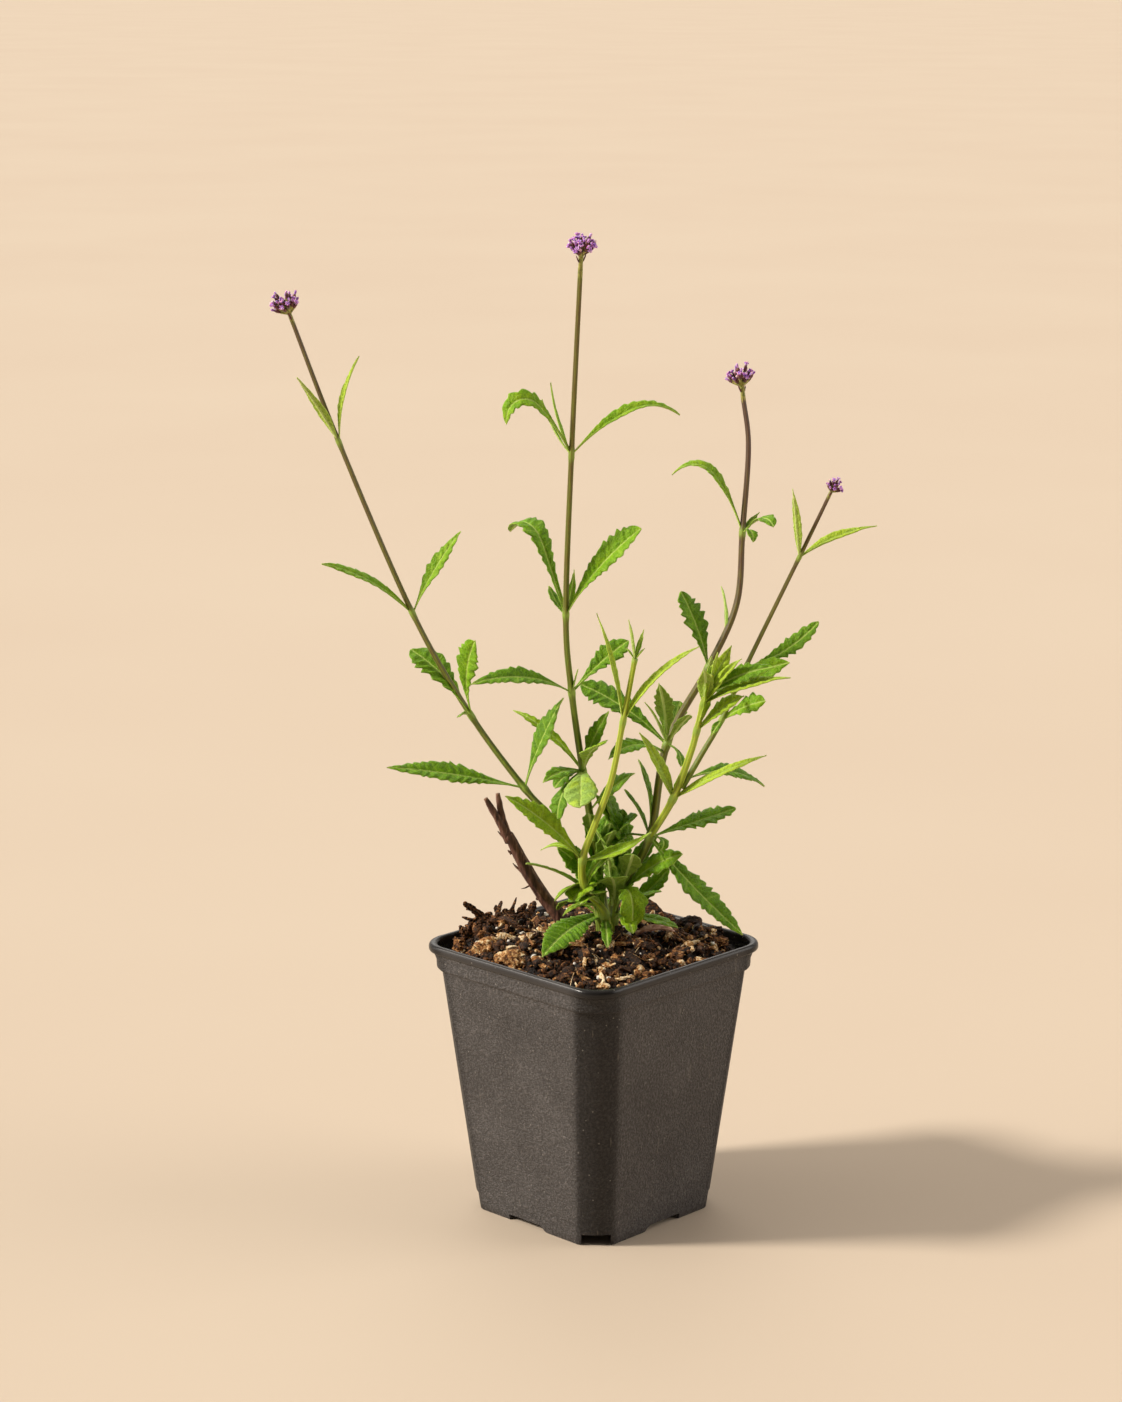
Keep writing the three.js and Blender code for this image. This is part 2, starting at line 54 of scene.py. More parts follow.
pot_low, pot_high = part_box("pot")
POT_AXIS = Vector(((pot_low.x + pot_high.x) / 2, (pot_low.y + pot_high.y) / 2, 0))
POT_FRAME = Matrix.Translation(POT_AXIS) @ Matrix.Diagonal((MM, MM, MM, 1))
PLANT_FRAME = POT_FRAME @ Matrix.Rotation(PLANT_TURN, 4, "Z")
PLANT_TURNED = Matrix.Rotation(PLANT_TURN, 3, "Z")

# ---- The plant's habit, as in the frame: x to its right, y to its back, z up, from the pot's axis ----

# Each stem: radius at the base, radius at the top, greenness at the base, middle and top, and its route.
STEMS = {
    "stem_a": (1.4, 0.7, (0.62, 0.58, 0.26), [
        (1, 1, 86), (2, 2, 108), (-4, 2, 127), (-16, 4, 145), (-25, 6, 155),
        (-44, 12, 180), (-65, 19, 216), (-91, 28, 276), (-108, 34, 320),
    ]),
    "stem_b": (1.5, 0.76, (0.58, 0.62, 0.36), [
        (5, 6, 86), (4, 6, 108), (1, 7, 128), (-2, 7, 148), (-4, 6, 161),
        (-8, 2, 191), (-10, -3, 220), (-8, -12, 278), (-5, -24, 342),
    ]),
    "stem_c": (1.6, 0.78, (0.7, 0.4, 0.14), [
        (9, 1, 86), (7, 1, 108), (10, 1, 120), (20, 2, 138), (26, 11, 170),
        (41, 21, 196), (51, 27, 218), (53, 32, 243), (55, 37, 273), (53, 41, 291),
    ]),
    "side_shoot_f": (1.3, 0.8, (0.9, 0.97, 1.0), [
        (20, 2, 138), (28, -5, 154), (34, -9, 172), (36, -10, 180), (38, -12, 190), (41, -14, 201),
    ]),
    "stem_d": (1.0, 0.58, (0.58, 0.56, 0.2), [
        (31, -6, 158), (38, -4, 170), (45, -2, 182), (53, -3, 201), (71, -10, 242), (81, -14, 265),
    ]),
    "side_shoot_e": (1.5, 0.8, (0.85, 0.97, 1.0), [
        (5, -4, 86), (4, -3, 110), (-3, -7, 121), (-4, -11, 133), (0, -14, 146),
        (6, -18, 164), (10, -22, 186), (14, -25, 209),
    ]),
}

# Leaf outlines: where along the leaf it is widest, fullness of the base side, fullness of the tip side,
# depth of the teeth as a share of the half width, millimetres from tooth to tooth.
FORMS = {
    "strap": (0.35, 0.8, 1.0, 0.16, 4.6),
    "lance": (0.5, 1.2, 0.85, 0.3, 3.7),
    "spoon": (0.68, 1.5, 0.6, 0.34, 3.8),
    "round": (0.56, 1.0, 0.55, 0.07, 4.0),
    "fine": (0.5, 1.2, 0.8, 0.2, 2.7),
    "jagged": (0.6, 1.3, 0.62, 0.5, 3.6),
}

# Each leaf: stem, joint along its route, tip from the joint [right, back, up], height of the arch, width,
# roll and curl of the tip in degrees, form, youth from 0 (dark, mature) to 1 (yellow-green), and how far
# its halves fold up.
LEAVES = {
    "leaf_a1_left": ("stem_a", 7, (-14, -6, 24), 1, 4, -10, 0, "strap", 0.8, 0.5),
    "leaf_a1_right": ("stem_a", 7, (7, 6, 30), 2, 5, 20, 0, "lance", 0.76, 0.5),
    "leaf_a2_left": ("stem_a", 6, (-31, -12, 20), 3, 7, -55, 0, "lance", 0.35, 0.4),
    "leaf_a2_right": ("stem_a", 6, (17, 9, 28), 1, 7, 32, 0, "lance", 0.4, 0.4),
    "leaf_a3_left": ("stem_a", 5, (-22, 10, 22), 3, 12, 0, 0, "spoon", 0.2, 0.35),
    "leaf_a3_right": ("stem_a", 5, (2, -13, 30), 3, 10, 80, 0, "spoon", 0.25, 0.35),
    "leaf_a4_left": ("stem_a", 4, (-48, -14, 11), 1, 10, -50, 0, "lance", 0.25, 0.35),
    "leaf_a4_right": ("stem_a", 4, (14, -9, 35), 1, 11, 45, 0, "lance", 0.0, 0.3),
    "leaf_b1_left": ("stem_b", 7, (-23, -12, 30), 2, 7, -35, 130, "spoon", 0.42, 0.4),
    "leaf_b1_right": ("stem_b", 7, (38, 8, 20), 4, 6, 10, 40, "lance", 0.45, 0.8),
    "leaf_b2_left": ("stem_b", 6, (-15, 10, 44), 0, 9, -5, 110, "spoon", 0.25, 0.35),
    "leaf_b2_right": ("stem_b", 6, (26, -8, 32), 2, 12, 40, 0, "spoon", 0.35, 0.6),
    "leaf_b3_left": ("stem_b", 5, (-35, -14, 6), 4, 8, -20, 0, "lance", 0.15, 0.45),
    "leaf_b3_right": ("stem_b", 5, (20, 8, 17), 1, 9, 20, 0, "spoon", 0.15, 0.4),
    "leaf_b5_left": ("stem_b", 4, (-25, 11, 20), 3, 4, -20, 0, "lance", 0.6, 0.4),
    "leaf_b5_up": ("stem_b", 4, (9, -4, 23), 1, 6, 50, 0, "lance", 0.2, 0.4),
    "leaf_b5_pale": ("stem_b", 4, (0, -22, -11), 5, 12, 0, -50, "round", 1.0, 0.15),
    "leaf_c1_left": ("stem_c", 7, (-22, 6, 33), 3, 7, -20, 80, "lance", 0.5, 0.4),
    "leaf_c2_left": ("stem_c", 5, (-10, 8, 26), 1, 11, -52, 0, "jagged", 0.15, 0.3),
    "leaf_c3_left": ("stem_c", 4, (-31, 8, 20), 2, 12, -50, 0, "spoon", 0.05, 0.3),
    "leaf_c3_up": ("stem_c", 4, (-3, -8, 24), 1, 7, 20, 0, "lance", 0.4, 0.4),
    "leaf_c3_front": ("stem_c", 3.9, (-20, -17, 2), 4, 8, -20, 0, "lance", 0.25, 0.4),
    "leaf_c4_long": ("stem_c", 3, (33, -14, -32), -1, 11, 42, 0, "lance", 0.1, 0.3),
    "leaf_c4_right": ("stem_c", 3, (31, 10, 8), 0, 9, 20, 0, "jagged", 0.25, 0.35),
    "leaf_c4_up": ("stem_c", 3, (-4, 10, 26), 2, 8, 0, 0, "lance", 0.05, 0.35),
    "leaf_d1_left": ("stem_d", 4, (-3, -7, 25), 0, 4, 40, 0, "strap", 0.8, 0.5),
    "leaf_d1_right": ("stem_d", 4, (27, 6, 10), 2, 5, 0, 0, "strap", 0.8, 0.5),
    "leaf_d2_far": ("stem_d", 3, (26, 8, 15), -3, 7, 10, 0, "jagged", 0.2, 0.35),
    # leaf_d2_right and leaf_d3_right have more youth, so a paler colour, than their age gives: painted light
    # on leaves that lie in the cluster's shade
    "leaf_d2_right": ("stem_d", 2.6, (19, -8, 13), 2, 8, 70, 0, "lance", 0.42, 0.35),
    "leaf_d3_right": ("stem_d", 2, (15, -5, 8), 1, 8, 65, 0, "jagged", 0.35, 0.35),
    "leaf_d4_right": ("stem_d", 0.3, (28, 16, -7), 4, 9, 10, 0, "lance", 0.0, 0.35),
    "leaf_e1_left": ("side_shoot_e", 3, (-27, -6, 25), 2, 9, -35, 0, "lance", 0.6, 0.5),
    "leaf_e1_right": ("side_shoot_e", 3, (24, -6, 12), -2, 6, 10, 0, "strap", 0.6, 0.5),
    "leaf_e2_left": ("side_shoot_e", 6, (-9, -3, 39), 1, 4, -10, 0, "strap", 0.8, 0.5),
    "leaf_e2_right": ("side_shoot_e", 6, (26, -5, 28), 3, 4.6, 15, 0, "strap", 0.78, 0.5),
    "leaf_f2_left": ("side_shoot_f", 1, (-12, -4, 25), 1, 5.5, -30, 0, "strap", 0.85, 0.5),
    "leaf_f2_right": ("side_shoot_f", 1, (32, -12, 19), 1, 5, 15, 0, "strap", 0.8, 0.5),
    # leaf_f4_right has more youth, so a paler colour, than its age gives: painted light on a leaf that lies
    # in the cluster's shade
    "leaf_f4_right": ("side_shoot_f", 4, (30, -6, 11), 2, 7, 15, 0, "strap", 0.75, 0.5),
    "leaf_low_wing": ("stem_b", 1, (-17, -8, 27), 3, 9, -60, 0, "spoon", 0.2, 0.35),
    "leaf_base_front": ("stem_b", 1, (-22, -32, -6), 3, 12, -20, 0, "fine", 0.08, 0.3),
    "leaf_base_arch": ("stem_c", 1, (9, -15, 0), 13, 10, 15, 30, "spoon", 0.45, 0.3),
    "leaf_base_right": ("stem_c", 1, (23, -8, -1), 2, 7, 10, 0, "spoon", 0.3, 0.3),
    "leaf_base_side": ("stem_c", 1, (20, 2, 18), -1, 8, 35, 0, "spoon", 0.35, 0.35),
}

# The small leaves and buds in the axils and round the crown, which the frame leaves out, by stem: the other
# columns are the same, and the last is left out where it is SMALL_FOLD.
SMALL_FOLD = 0.3
SMALL_LEAVES = {
    "stem_a": [
        (5, (-4, -5, 1), 1, 4, 0, 0, "spoon", 0.1), (2.3, (-6, -6, 8), 1, 5, 0, 0, "spoon", 0.0),
        (1.2, (-12, 10, 20), 2, 8, -10, 0, "spoon", 0.1), (1, (-16, 8, 2), 4, 8, 0, 20, "spoon", 0.3),
    ],
    "stem_b": [
        (7, (-7, 5, 24), -2, 3, 40, 0, "strap", 0.4, 0.4),
        (7, (-10, 8, 18), -2, 3, 40, 0, "strap", 0.3, 0.4), (6, (-6, 6, 9), -1, 5, 20, 0, "lance", 0.1),
        (6, (3, 5, 15), -1, 3, 30, 0, "strap", 0.3), (5, (2, -3, 9), 0, 2, 30, 0, "strap", 0.1),
        (4, (6, -17, 14), 2, 10, 0, 0, "spoon", 0.5), (4, (-14, -15, 0), 2, 6, -20, 0, "lance", 0.3),
        (4, (-10, -8, -4), 2, 6, -20, 0, "spoon", 0.05), (4, (-9, -9, -16), 4, 8, 0, 0, "spoon", 0.0),
        (2.9, (16, -8, 16), 1, 9, 30, 0, "lance", 0.3), (2.2, (-2, -7, 15), 1, 6, 0, 0, "spoon", 0.05),
        (2.2, (11, -6, 6), 1, 7, 20, 0, "spoon", 0.05),
        (1, (-28, -14, 23), 4, 5.4, 0, 0, "spoon", 0.1, 0.4),
        (1, (-18, -20, 11), 8, 7, 20, 0, "spoon", 0.5), (1, (-15, -18, 5), 4, 3.8, 0, 0, "lance", 0.6),
        (1, (-12, -18, 15), 5, 12, 20, 40, "spoon", 0.5, 0.25),
        (1.6, (4, -12, 22), 2, 8, 10, 0, "spoon", 0.3), (1.9, (14, -4, 20), 2, 9, 20, 0, "spoon", 0.15),
        (1, (-5, -17, 15), 2, 8, 0, 20, "spoon", 0.35), (1, (1, -24, -5), 3, 4, 0, 0, "spoon", 0.05),
        (1, (-4, -10, 18), 2, 6, 0, 0, "spoon", 0.1), (1.2, (-7, 4, 30), 1, 8, 10, 0, "lance", 0.1),
        (1.5, (3, -8, 26), 1, 7, 0, 0, "spoon", 0.15), (1, (-8, 18, 10), 3, 9, 0, 0, "spoon", 0.2),
        (1, (2, 20, -3), 4, 8, 0, 20, "spoon", 0.3), (1.8, (4, 14, 18), 2, 8, 10, 0, "lance", 0.15),
    ],
    "stem_c": [
        (7, (11, -14, 8), 2, 6, 20, 40, "spoon", 0.25), (7, (6, 3, 7), 0, 3, 30, 0, "strap", 0.2),
        (7, (4, -12, 0), 2, 4, 0, 30, "spoon", 0.15), (5, (1, -4, 5), 0, 2, 0, 0, "strap", 0.3),
        (5.5, (-1, 9, 16), 1, 4, 40, 0, "strap", 0.3), (4, (5, 12, 13), 1, 7, 0, 0, "spoon", 0.1),
        (4, (8, -5, 12), 1, 6, 20, 0, "spoon", 0.4), (4, (-8, -11, 18), 1, 4, -20, 0, "strap", 0.4),
        (4, (5, -9, -6), 2, 5, 0, 0, "spoon", 0.1), (3, (6, -6, -3), 2, 5, 0, 60, "spoon", 0.05),
        (3, (-19, 4, -6), 3, 7, -20, 0, "spoon", 0.05), (3, (-9, 6, 16), 1, 6, 0, 0, "lance", 0.2),
        (1.6, (-8, -6, 28), 2, 9, 0, 0, "spoon", 0.2), (1.3, (-1, -13, 15), 2, 10, 10, 0, "spoon", 0.35),
        (1.8, (5, -9, 17), 1, 8, 20, 0, "spoon", 0.3), (1, (7, -15, -1), 4, 6, 0, 0, "spoon", 0.45),
        (1, (8, 7, 19), 1, 9, 0, 0, "spoon", 0.05), (1, (17, -6, 12), 2, 6, 0, 0, "spoon", 0.3),
        (1.1, (-2, -9, 24), 1, 7, -10, 0, "lance", 0.3, 0.4), (1.3, (3, 9, 34), 1, 9, 0, 0, "spoon", 0.1),
        (2, (-6, 9, 34), 2, 11, 0, 0, "spoon", 0.1), (2.4, (-13, 6, 26), 2, 9, -20, 0, "lance", 0.2, 0.4),
        (1.4, (24, -4, 20), 3, 9, 30, 0, "spoon", 0.35),
        (1.2, (16, 10, 26), 2, 8, 20, 0, "lance", 0.15, 0.4), (1, (6, 16, 12), 3, 9, 0, 0, "spoon", 0.2),
    ],
    "side_shoot_f": [
        (1, (2, 2, 8), 0, 2, 0, 0, "strap", 0.5), (3, (4, -2, 24), 2, 7, 35, 0, "lance", 0.6, 0.4),
        (3, (16, -6, 14), 1, 7.5, 35, 0, "lance", 0.65, 0.4),
        (4, (10, 4, 20), 1, 7, 40, 0, "strap", 0.7, 0.4),
        (4, (13, -3, 17), 1, 5.5, 20, 0, "strap", 0.7, 0.4),
        (4, (0, -6, 14), 1, 6, 40, 0, "strap", 0.7, 0.4), (5, (2, -1, 8), 0, 2, 20, 0, "strap", 0.8),
        (4.3, (24, -3, 11), 2, 7, 40, 0, "lance", 0.25, 0.35),
    ],
    "stem_d": [
        (2, (-4, -4, -5), 1, 3, 0, 0, "strap", 0.0), (2.6, (-6, -7, 2), 1, 4, 0, 0, "spoon", 0.05),
    ],
    "side_shoot_e": [
        (3, (-15, 3, 3), 4, 3, 0, 0, "strap", 0.5), (7, (-2, -1, 14), 0, 2.2, 40, 0, "strap", 0.6, 0.4),
        (7, (3, 1, 10), 0, 1.8, 10, 0, "strap", 0.4), (7, (-3, 1, 4), 0, 1.5, 10, 0, "strap", 0.6),
        (7, (3, -1, 4), 0, 1.5, 10, 0, "strap", 0.6), (1, (-12, 6, 22), 2, 8, -20, 0, "spoon", 0.2),
        (1, (-9, -10, 10), 3, 5, 0, 30, "spoon", 0.45), (2, (10, -5, 16), 2, 6, 10, 0, "lance", 0.3, 0.4),
    ],
}

# Each flower head: its stem, the height its branches start at over the stem's end, its radius and
# height, calyxes, and how many of them are in open flower.
FLOWER_HEADS = {
    "flower_head_a": ("stem_a", 1.0, 5.6, 14, 36, 8),
    "flower_head_b": ("stem_b", 5.2, 6, 10.6, 34, 14),
    "flower_head_c": ("stem_c", 3.4, 5.4, 13, 34, 10),
    "flower_head_d": ("stem_d", 0.6, 3.8, 5.4, 18, 9),
}

# The cut-back cane's route, and the routes of the two prongs of its broken top
CANE = [(-4, 12, 86), (-12, 11, 105), (-18, 11, 113), (-24, 10, 123), (-28, 10, 131), (-31.4, 9.2, 138)]
CANE_PRONGS = [
    [(-30.6, 9.2, 134), (-33.6, 8.6, 141), (-36.6, 8.3, 146.5), (-38.8, 8, 150.5)],
    [(-30.2, 9.5, 134), (-32.4, 9.8, 141), (-33.7, 9.9, 146.5), (-34.5, 10, 151.8)],
]
# Thorns and old leaf joints on it: foot and tip, with the radius at the foot
CANE_THORNS = [
    ((-31.6, 9.2, 135.2), (-34.6, 8.8, 138.2), 0.7), ((-30, 9.5, 130), (-31, 9.3, 131), 0.6),
    ((-27, 10, 123.6), (-29.2, 9.6, 126), 0.5), ((-23.2, 10.4, 117.4), (-26.2, 9.6, 116.4), 0.45),
    ((-28.4, 9.6, 134), (-27.8, 9.4, 135.2), 0.7), ((-26, 9, 127), (-24.8, 8.4, 128.6), 0.9),
    ((-20, 12, 113), (-19.6, 14.2, 115.6), 0.9), ((-29, 11, 131), (-28.6, 13, 133), 0.8),
]

# ---- Materials ----


def colour(code):
    """The linear colour, with alpha, of an sRGB hex value such as 4f8a24."""
    parts = [int(code[i : i + 2], 16) / 255 for i in (0, 2, 4)]
    return tuple(p / 12.92 if p <= 0.04045 else ((p + 0.055) / 1.055) ** 2.4 for p in parts) + (1.0,)


def add(tree, kind, inputs=(), output=0, stops=(), **settings):
    """Adds a shader node and returns one of its outputs. inputs: a value for each socket, or the socket that
    feeds it, in the node's own order or by name or number. stops: a ramp's places and colours."""
    made = tree.nodes.new("ShaderNode" + kind)
    for name, value in settings.items():
        setattr(made, name, value)
    for socket, value in (inputs if isinstance(inputs, dict) else dict(enumerate(inputs))).items():
        feed(tree, made.inputs[socket], value)
    for i, (place, code) in enumerate(stops):
        ramp = made.color_ramp.elements
        stop = ramp[i] if i < len(ramp) else ramp.new(place)
        stop.position = place
        stop.color = colour(code)
    return made.outputs[output]


def feed(tree, socket, value):
    """Gives a socket its value, or the link that feeds it."""
    if isinstance(value, bpy.types.NodeSocket):
        tree.links.new(value, socket)
    else:
        socket.default_value = value


def start_material(name):
    """A new material, its node tree and the Object coordinates that its patterns lie on."""
    made = bpy.data.materials.new(name)
    made.use_nodes = True
    return made, made.node_tree, add(made.node_tree, "TexCoord", output="Object")


def plug(made, **inputs):
    """Feeds the material's Principled shader, whose sockets are written with _ for a space."""
    for name, value in inputs.items():
        feed(made.node_tree, made.node_tree.nodes["Principled BSDF"].inputs[name.replace("_", " ")], value)
    return made


def per_mm(size):
    """The scale of a pattern on Object coordinates whose grain is size millimetres."""
    return 1 / (size * MM)


# Settings of a Mix node that blends or multiplies colours: sockets 0, 6 and 7 are its factor and colours
BLENDED = {"output": 2, "data_type": "RGBA"}
MULTIPLIED = {"output": 2, "data_type": "RGBA", "blend_type": "MULTIPLY"}
LIP_TURNS = (96.4 * MM, 97 * MM)  # heights between which the pot's band turns out into its lip


def pot_plastic_material():
    """Recycled black polypropylene, moulded in a spark-eroded tool: a charcoal surface with a fine dry
    stipple, a soft broad sheen, a few pale specks of dust, short scuffs from handling and painted shade on
    the corner faces."""
    made, tree, place = start_material("moulded_black_polypropylene")
    cloud = add(tree, "TexNoise", {"Vector": place, "Scale": per_mm(22), "Detail": 5})
    base = add(tree, "ValToRGB", (cloud,), stops=[(0.3, "454241"), (0.5, "4c4948"), (0.7, "53504f")])
    # painted shade: the corner faces are made the darkest by darkening their colour down to 0.4, in place of
    # shade; a place lies on one where its X and Y are nearly alike
    centred = add(tree, "VectorMath", (place, POT_AXIS), operation="SUBTRACT")
    away = add(tree, "VectorMath", (centred,), operation="ABSOLUTE")
    axes = add(tree, "SeparateXYZ", (away,)).node.outputs
    both = add(tree, "Math", (axes["X"], axes["Y"]), operation="ADD")
    most = add(tree, "Math", (axes["X"], axes["Y"]), operation="MAXIMUM")
    ratio = add(tree, "Math", (both, most), operation="DIVIDE")
    corner = add(tree, "MapRange", (ratio, 1.64, 1.8, 1.0, 0.4), interpolation_type="SMOOTHSTEP")
    # stipple of under a millimetre, coarser than the real tool's so that it shows
    stipple = add(tree, "TexNoise", {"Vector": place, "Scale": per_mm(0.9), "Detail": 3, "Roughness": 0.6})
    grain = add(tree, "MapRange", (stipple, 0.44, 0.68, 0.78, 1.75))
    # the lip comes from a part of the tool with a polish, so it is darker, smoother and without the stipple
    height = add(tree, "SeparateXYZ", (place,), "Z")
    gloss = add(tree, "MapRange", (height, *LIP_TURNS, 1.0, 0.55))
    stamped = add(tree, "MapRange", (height, *LIP_TURNS, 0.9, 0.05))
    # the painted shade of the corners and the darker polished lip together multiply the base colour
    painted_corner_shade_and_lip_polish = add(tree, "Math", (corner, gloss), operation="MULTIPLY")
    dark = add(tree, "Mix", {0: 1.0, 6: base, 7: painted_corner_shade_and_lip_polish}, **MULTIPLIED)
    dusted = add(tree, "Mix", {0: stamped, 6: dark, 7: grain}, **MULTIPLIED)
    speck = add(tree, "TexVoronoi", {"Vector": place, "Scale": per_mm(3.2)})
    speck_mask = add(tree, "MapRange", (speck, 0.11, 0.05, 0.0, 0.5))
    specked = add(tree, "Mix", {0: speck_mask, 6: dusted, 7: colour("a29c94")}, **BLENDED)
    lengthwise = add(tree, "Mapping", {"Vector": place, "Rotation": (0.5, 0.3, 0.6), "Scale": (1, 1, 0.08)})
    scuff = add(tree, "TexNoise", {"Vector": lengthwise, "Scale": per_mm(1.6), "Detail": 2})
    scuff_mask = add(tree, "MapRange", (scuff, 0.72, 0.78, 0.0, 0.4))
    scuffed = add(tree, "Mix", {0: scuff_mask, 6: specked, 7: colour("8f867c")}, **BLENDED)
    sheen = add(tree, "MapRange", (cloud, 0.3, 0.7, 0.42, 0.52))
    polish = add(tree, "Math", (sheen, gloss), operation="MULTIPLY")
    fine = add(tree, "TexNoise", {"Vector": place, "Scale": per_mm(0.45), "Detail": 2})
    bump = add(tree, "Bump", {"Height": stipple, "Strength": stamped, "Distance": 0.65 * MM})
    bump = add(tree, "Bump", {"Height": fine, "Strength": stamped, "Distance": 0.2 * MM, "Normal": bump})
    return plug(made, Base_Color=scuffed, Roughness=polish, Normal=bump, IOR=1.49, Specular_IOR_Level=0.25)


def mulch_material(name, stops, grain):
    """Damp composted bark and peat: dull fibrous crumbs, each its own shade by the tone attribute, from
    near black through reddish brown to straw, with paler streaks along the fibres."""
    made, tree, place = start_material(name)
    tone = add(tree, "Attribute", output="Fac", attribute_name="tone")
    streak = add(tree, "TexNoise", {"Vector": place, "Scale": per_mm(grain), "Detail": 6})
    shift = add(tree, "MapRange", (streak, 0.3, 0.7, -0.26, 0.26))
    total = add(tree, "Math", (tone, shift), operation="ADD")
    shade = add(tree, "ValToRGB", (total,), stops=stops)
    rough = add(tree, "TexNoise", {"Vector": place, "Scale": per_mm(0.5), "Detail": 4})
    bump = add(tree, "Bump", {"Height": streak, "Strength": 1.0, "Distance": 0.6 * MM})
    bump = add(tree, "Bump", {"Height": rough, "Strength": 0.7, "Distance": 0.2 * MM, "Normal": bump})
    damp = add(tree, "MapRange", (rough, 0.35, 0.65, 0.6, 0.95))
    return plug(made, Base_Color=shade, Roughness=damp, Normal=bump, Specular_IOR_Level=0.3)


def perlite_material():
    """Expanded perlite: chalky white volcanic glass foam, faintly stained by the peat, pitted all over."""
    made, tree, place = start_material("expanded_perlite")
    stain = add(tree, "TexNoise", {"Vector": place, "Scale": per_mm(1.5), "Detail": 4})
    shade = add(tree, "ValToRGB", (stain,), stops=[(0.3, "b9a78c"), (0.5, "ece6da"), (0.8, "fbf8f2")])
    pits = add(tree, "TexVoronoi", {"Vector": place, "Scale": per_mm(0.4)})
    bump = add(tree, "Bump", {"Height": pits, "Strength": 0.6, "Distance": 0.1 * MM})
    return plug(made, Base_Color=shade, Roughness=0.85, Normal=bump)


def stem_material():
    """Living square stem: a finely hairy rind, purple-brown to yellow-green by the green attribute, with
    paler ribs and painted shade darkening the grooves, lengthwise streaks and yellow-green swollen joints."""
    made, tree, place = start_material("ribbed_stem_rind")
    green, groove, knot = (
        add(tree, "Attribute", output="Fac", attribute_name=layer) for layer in ("green", "groove", "knot")
    )
    upright = add(tree, "Mapping", {"Vector": place, "Scale": (1, 1, 0.07)})
    streak = add(tree, "TexNoise", {"Vector": upright, "Scale": per_mm(1.0), "Detail": 4})
    shift = add(tree, "MapRange", (streak, 0.3, 0.7, -0.1, 0.1))
    total = add(tree, "Math", (green, shift), operation="ADD")
    shade = add(tree, "ValToRGB", (total,), stops=[
        (0.0, "4e362c"), (0.22, "644a32"), (0.42, "756e2a"),
        (0.6, "748524"), (0.82, "9cb02e"), (1.0, "b4c43c"),
    ])
    # painted shade: the colour is darkened down into the grooves, to half at their bottom, and paler on the
    # ribs
    painted_groove_shade = add(tree, "MapRange", (groove, 0.0, 1.0, 1.25, 0.5))
    groove_shaded = add(tree, "Mix", {0: 1.0, 6: shade, 7: painted_groove_shade}, **MULTIPLIED)
    jointed = add(tree, "Mix", {0: knot, 6: groove_shaded, 7: colour("93b043")}, **BLENDED)
    bump = add(tree, "Bump", {"Height": streak, "Strength": 0.5, "Distance": 0.15 * MM})
    return plug(
        made, Base_Color=jointed, Roughness=0.52, Normal=bump, Specular_IOR_Level=0.35, Sheen_Weight=0.06,
        Subsurface_Weight=0.1, Subsurface_Scale=0.8 * MM,
    )


def leaf_material(name, stops, vein_code, vein_share, rib_and_margin_highlight_code):
    """Verbena leaf: rough, net-veined and softly hairy, with a pale midrib, sunk side veins that run to
    the teeth and a fine puckered net between them. Light comes through the thin blade."""
    made, tree, place = start_material(name)
    youth = add(tree, "Attribute", output="Fac", attribute_name="youth")
    mottle = add(tree, "TexNoise", {"Vector": place, "Scale": per_mm(3.5), "Detail": 5})
    shift = add(tree, "MapRange", (mottle, 0.3, 0.7, -0.12, 0.14))
    total = add(tree, "Math", (youth, shift), operation="ADD")
    shade = add(tree, "ValToRGB", (total,), stops=stops)
    # the puckered net of the smallest veins, cells of about a millimetre, with wandering edges
    wander = add(tree, "TexNoise", {"Vector": place, "Scale": per_mm(0.9), "Detail": 2}, "Color")
    nudge = add(tree, "VectorMath", (wander, (0.9 * MM, 0.9 * MM, 0.9 * MM)), operation="MULTIPLY")
    nudged = add(tree, "VectorMath", (place, nudge), operation="ADD")
    net = add(tree, "TexVoronoi", {"Vector": nudged, "Scale": per_mm(0.75)})
    cell = add(tree, "MapRange", (net, 0.1, 0.75, 0.84, 1.2))
    shade = add(tree, "Mix", {0: 1.0, 6: shade, 7: cell}, **MULTIPLIED)
    # paler along the side veins, the midrib and the margin, where the pale margin is partly the leaf's own
    # yellowish edge and partly a painted highlight of the light its hairy rim catches: the distances where
    # each starts and is full
    for layer, start, full, share, code in (
        ("vein", 0.3, 0.05, vein_share, vein_code),
        ("rib", 0.46, 0.2, 0.75, rib_and_margin_highlight_code),
        ("margin", 0.22, 0.0, 0.35, rib_and_margin_highlight_code),
    ):
        distance = add(tree, "Attribute", output="Fac", attribute_name=layer)
        mask = add(tree, "MapRange", (distance, start, full, 0.0, share))
        shade = add(tree, "Mix", {0: mask, 6: shade, 7: colour(code)}, **BLENDED)
    bump = add(tree, "Bump", {"Height": cell, "Strength": 0.5, "Distance": 1.1 * MM}, invert=True)
    hairs = add(tree, "TexNoise", {"Vector": place, "Scale": per_mm(0.35), "Detail": 2})
    bump = add(tree, "Bump", {"Height": hairs, "Strength": 0.5, "Distance": 0.12 * MM, "Normal": bump})
    return plug(
        made, Base_Color=shade, Roughness=0.58, Normal=bump, Specular_IOR_Level=0.24, Sheen_Weight=0.02,
        Subsurface_Weight=0.3, Subsurface_Scale=0.6 * MM, Subsurface_Radius=(1.0, 1.0, 0.6),
    )


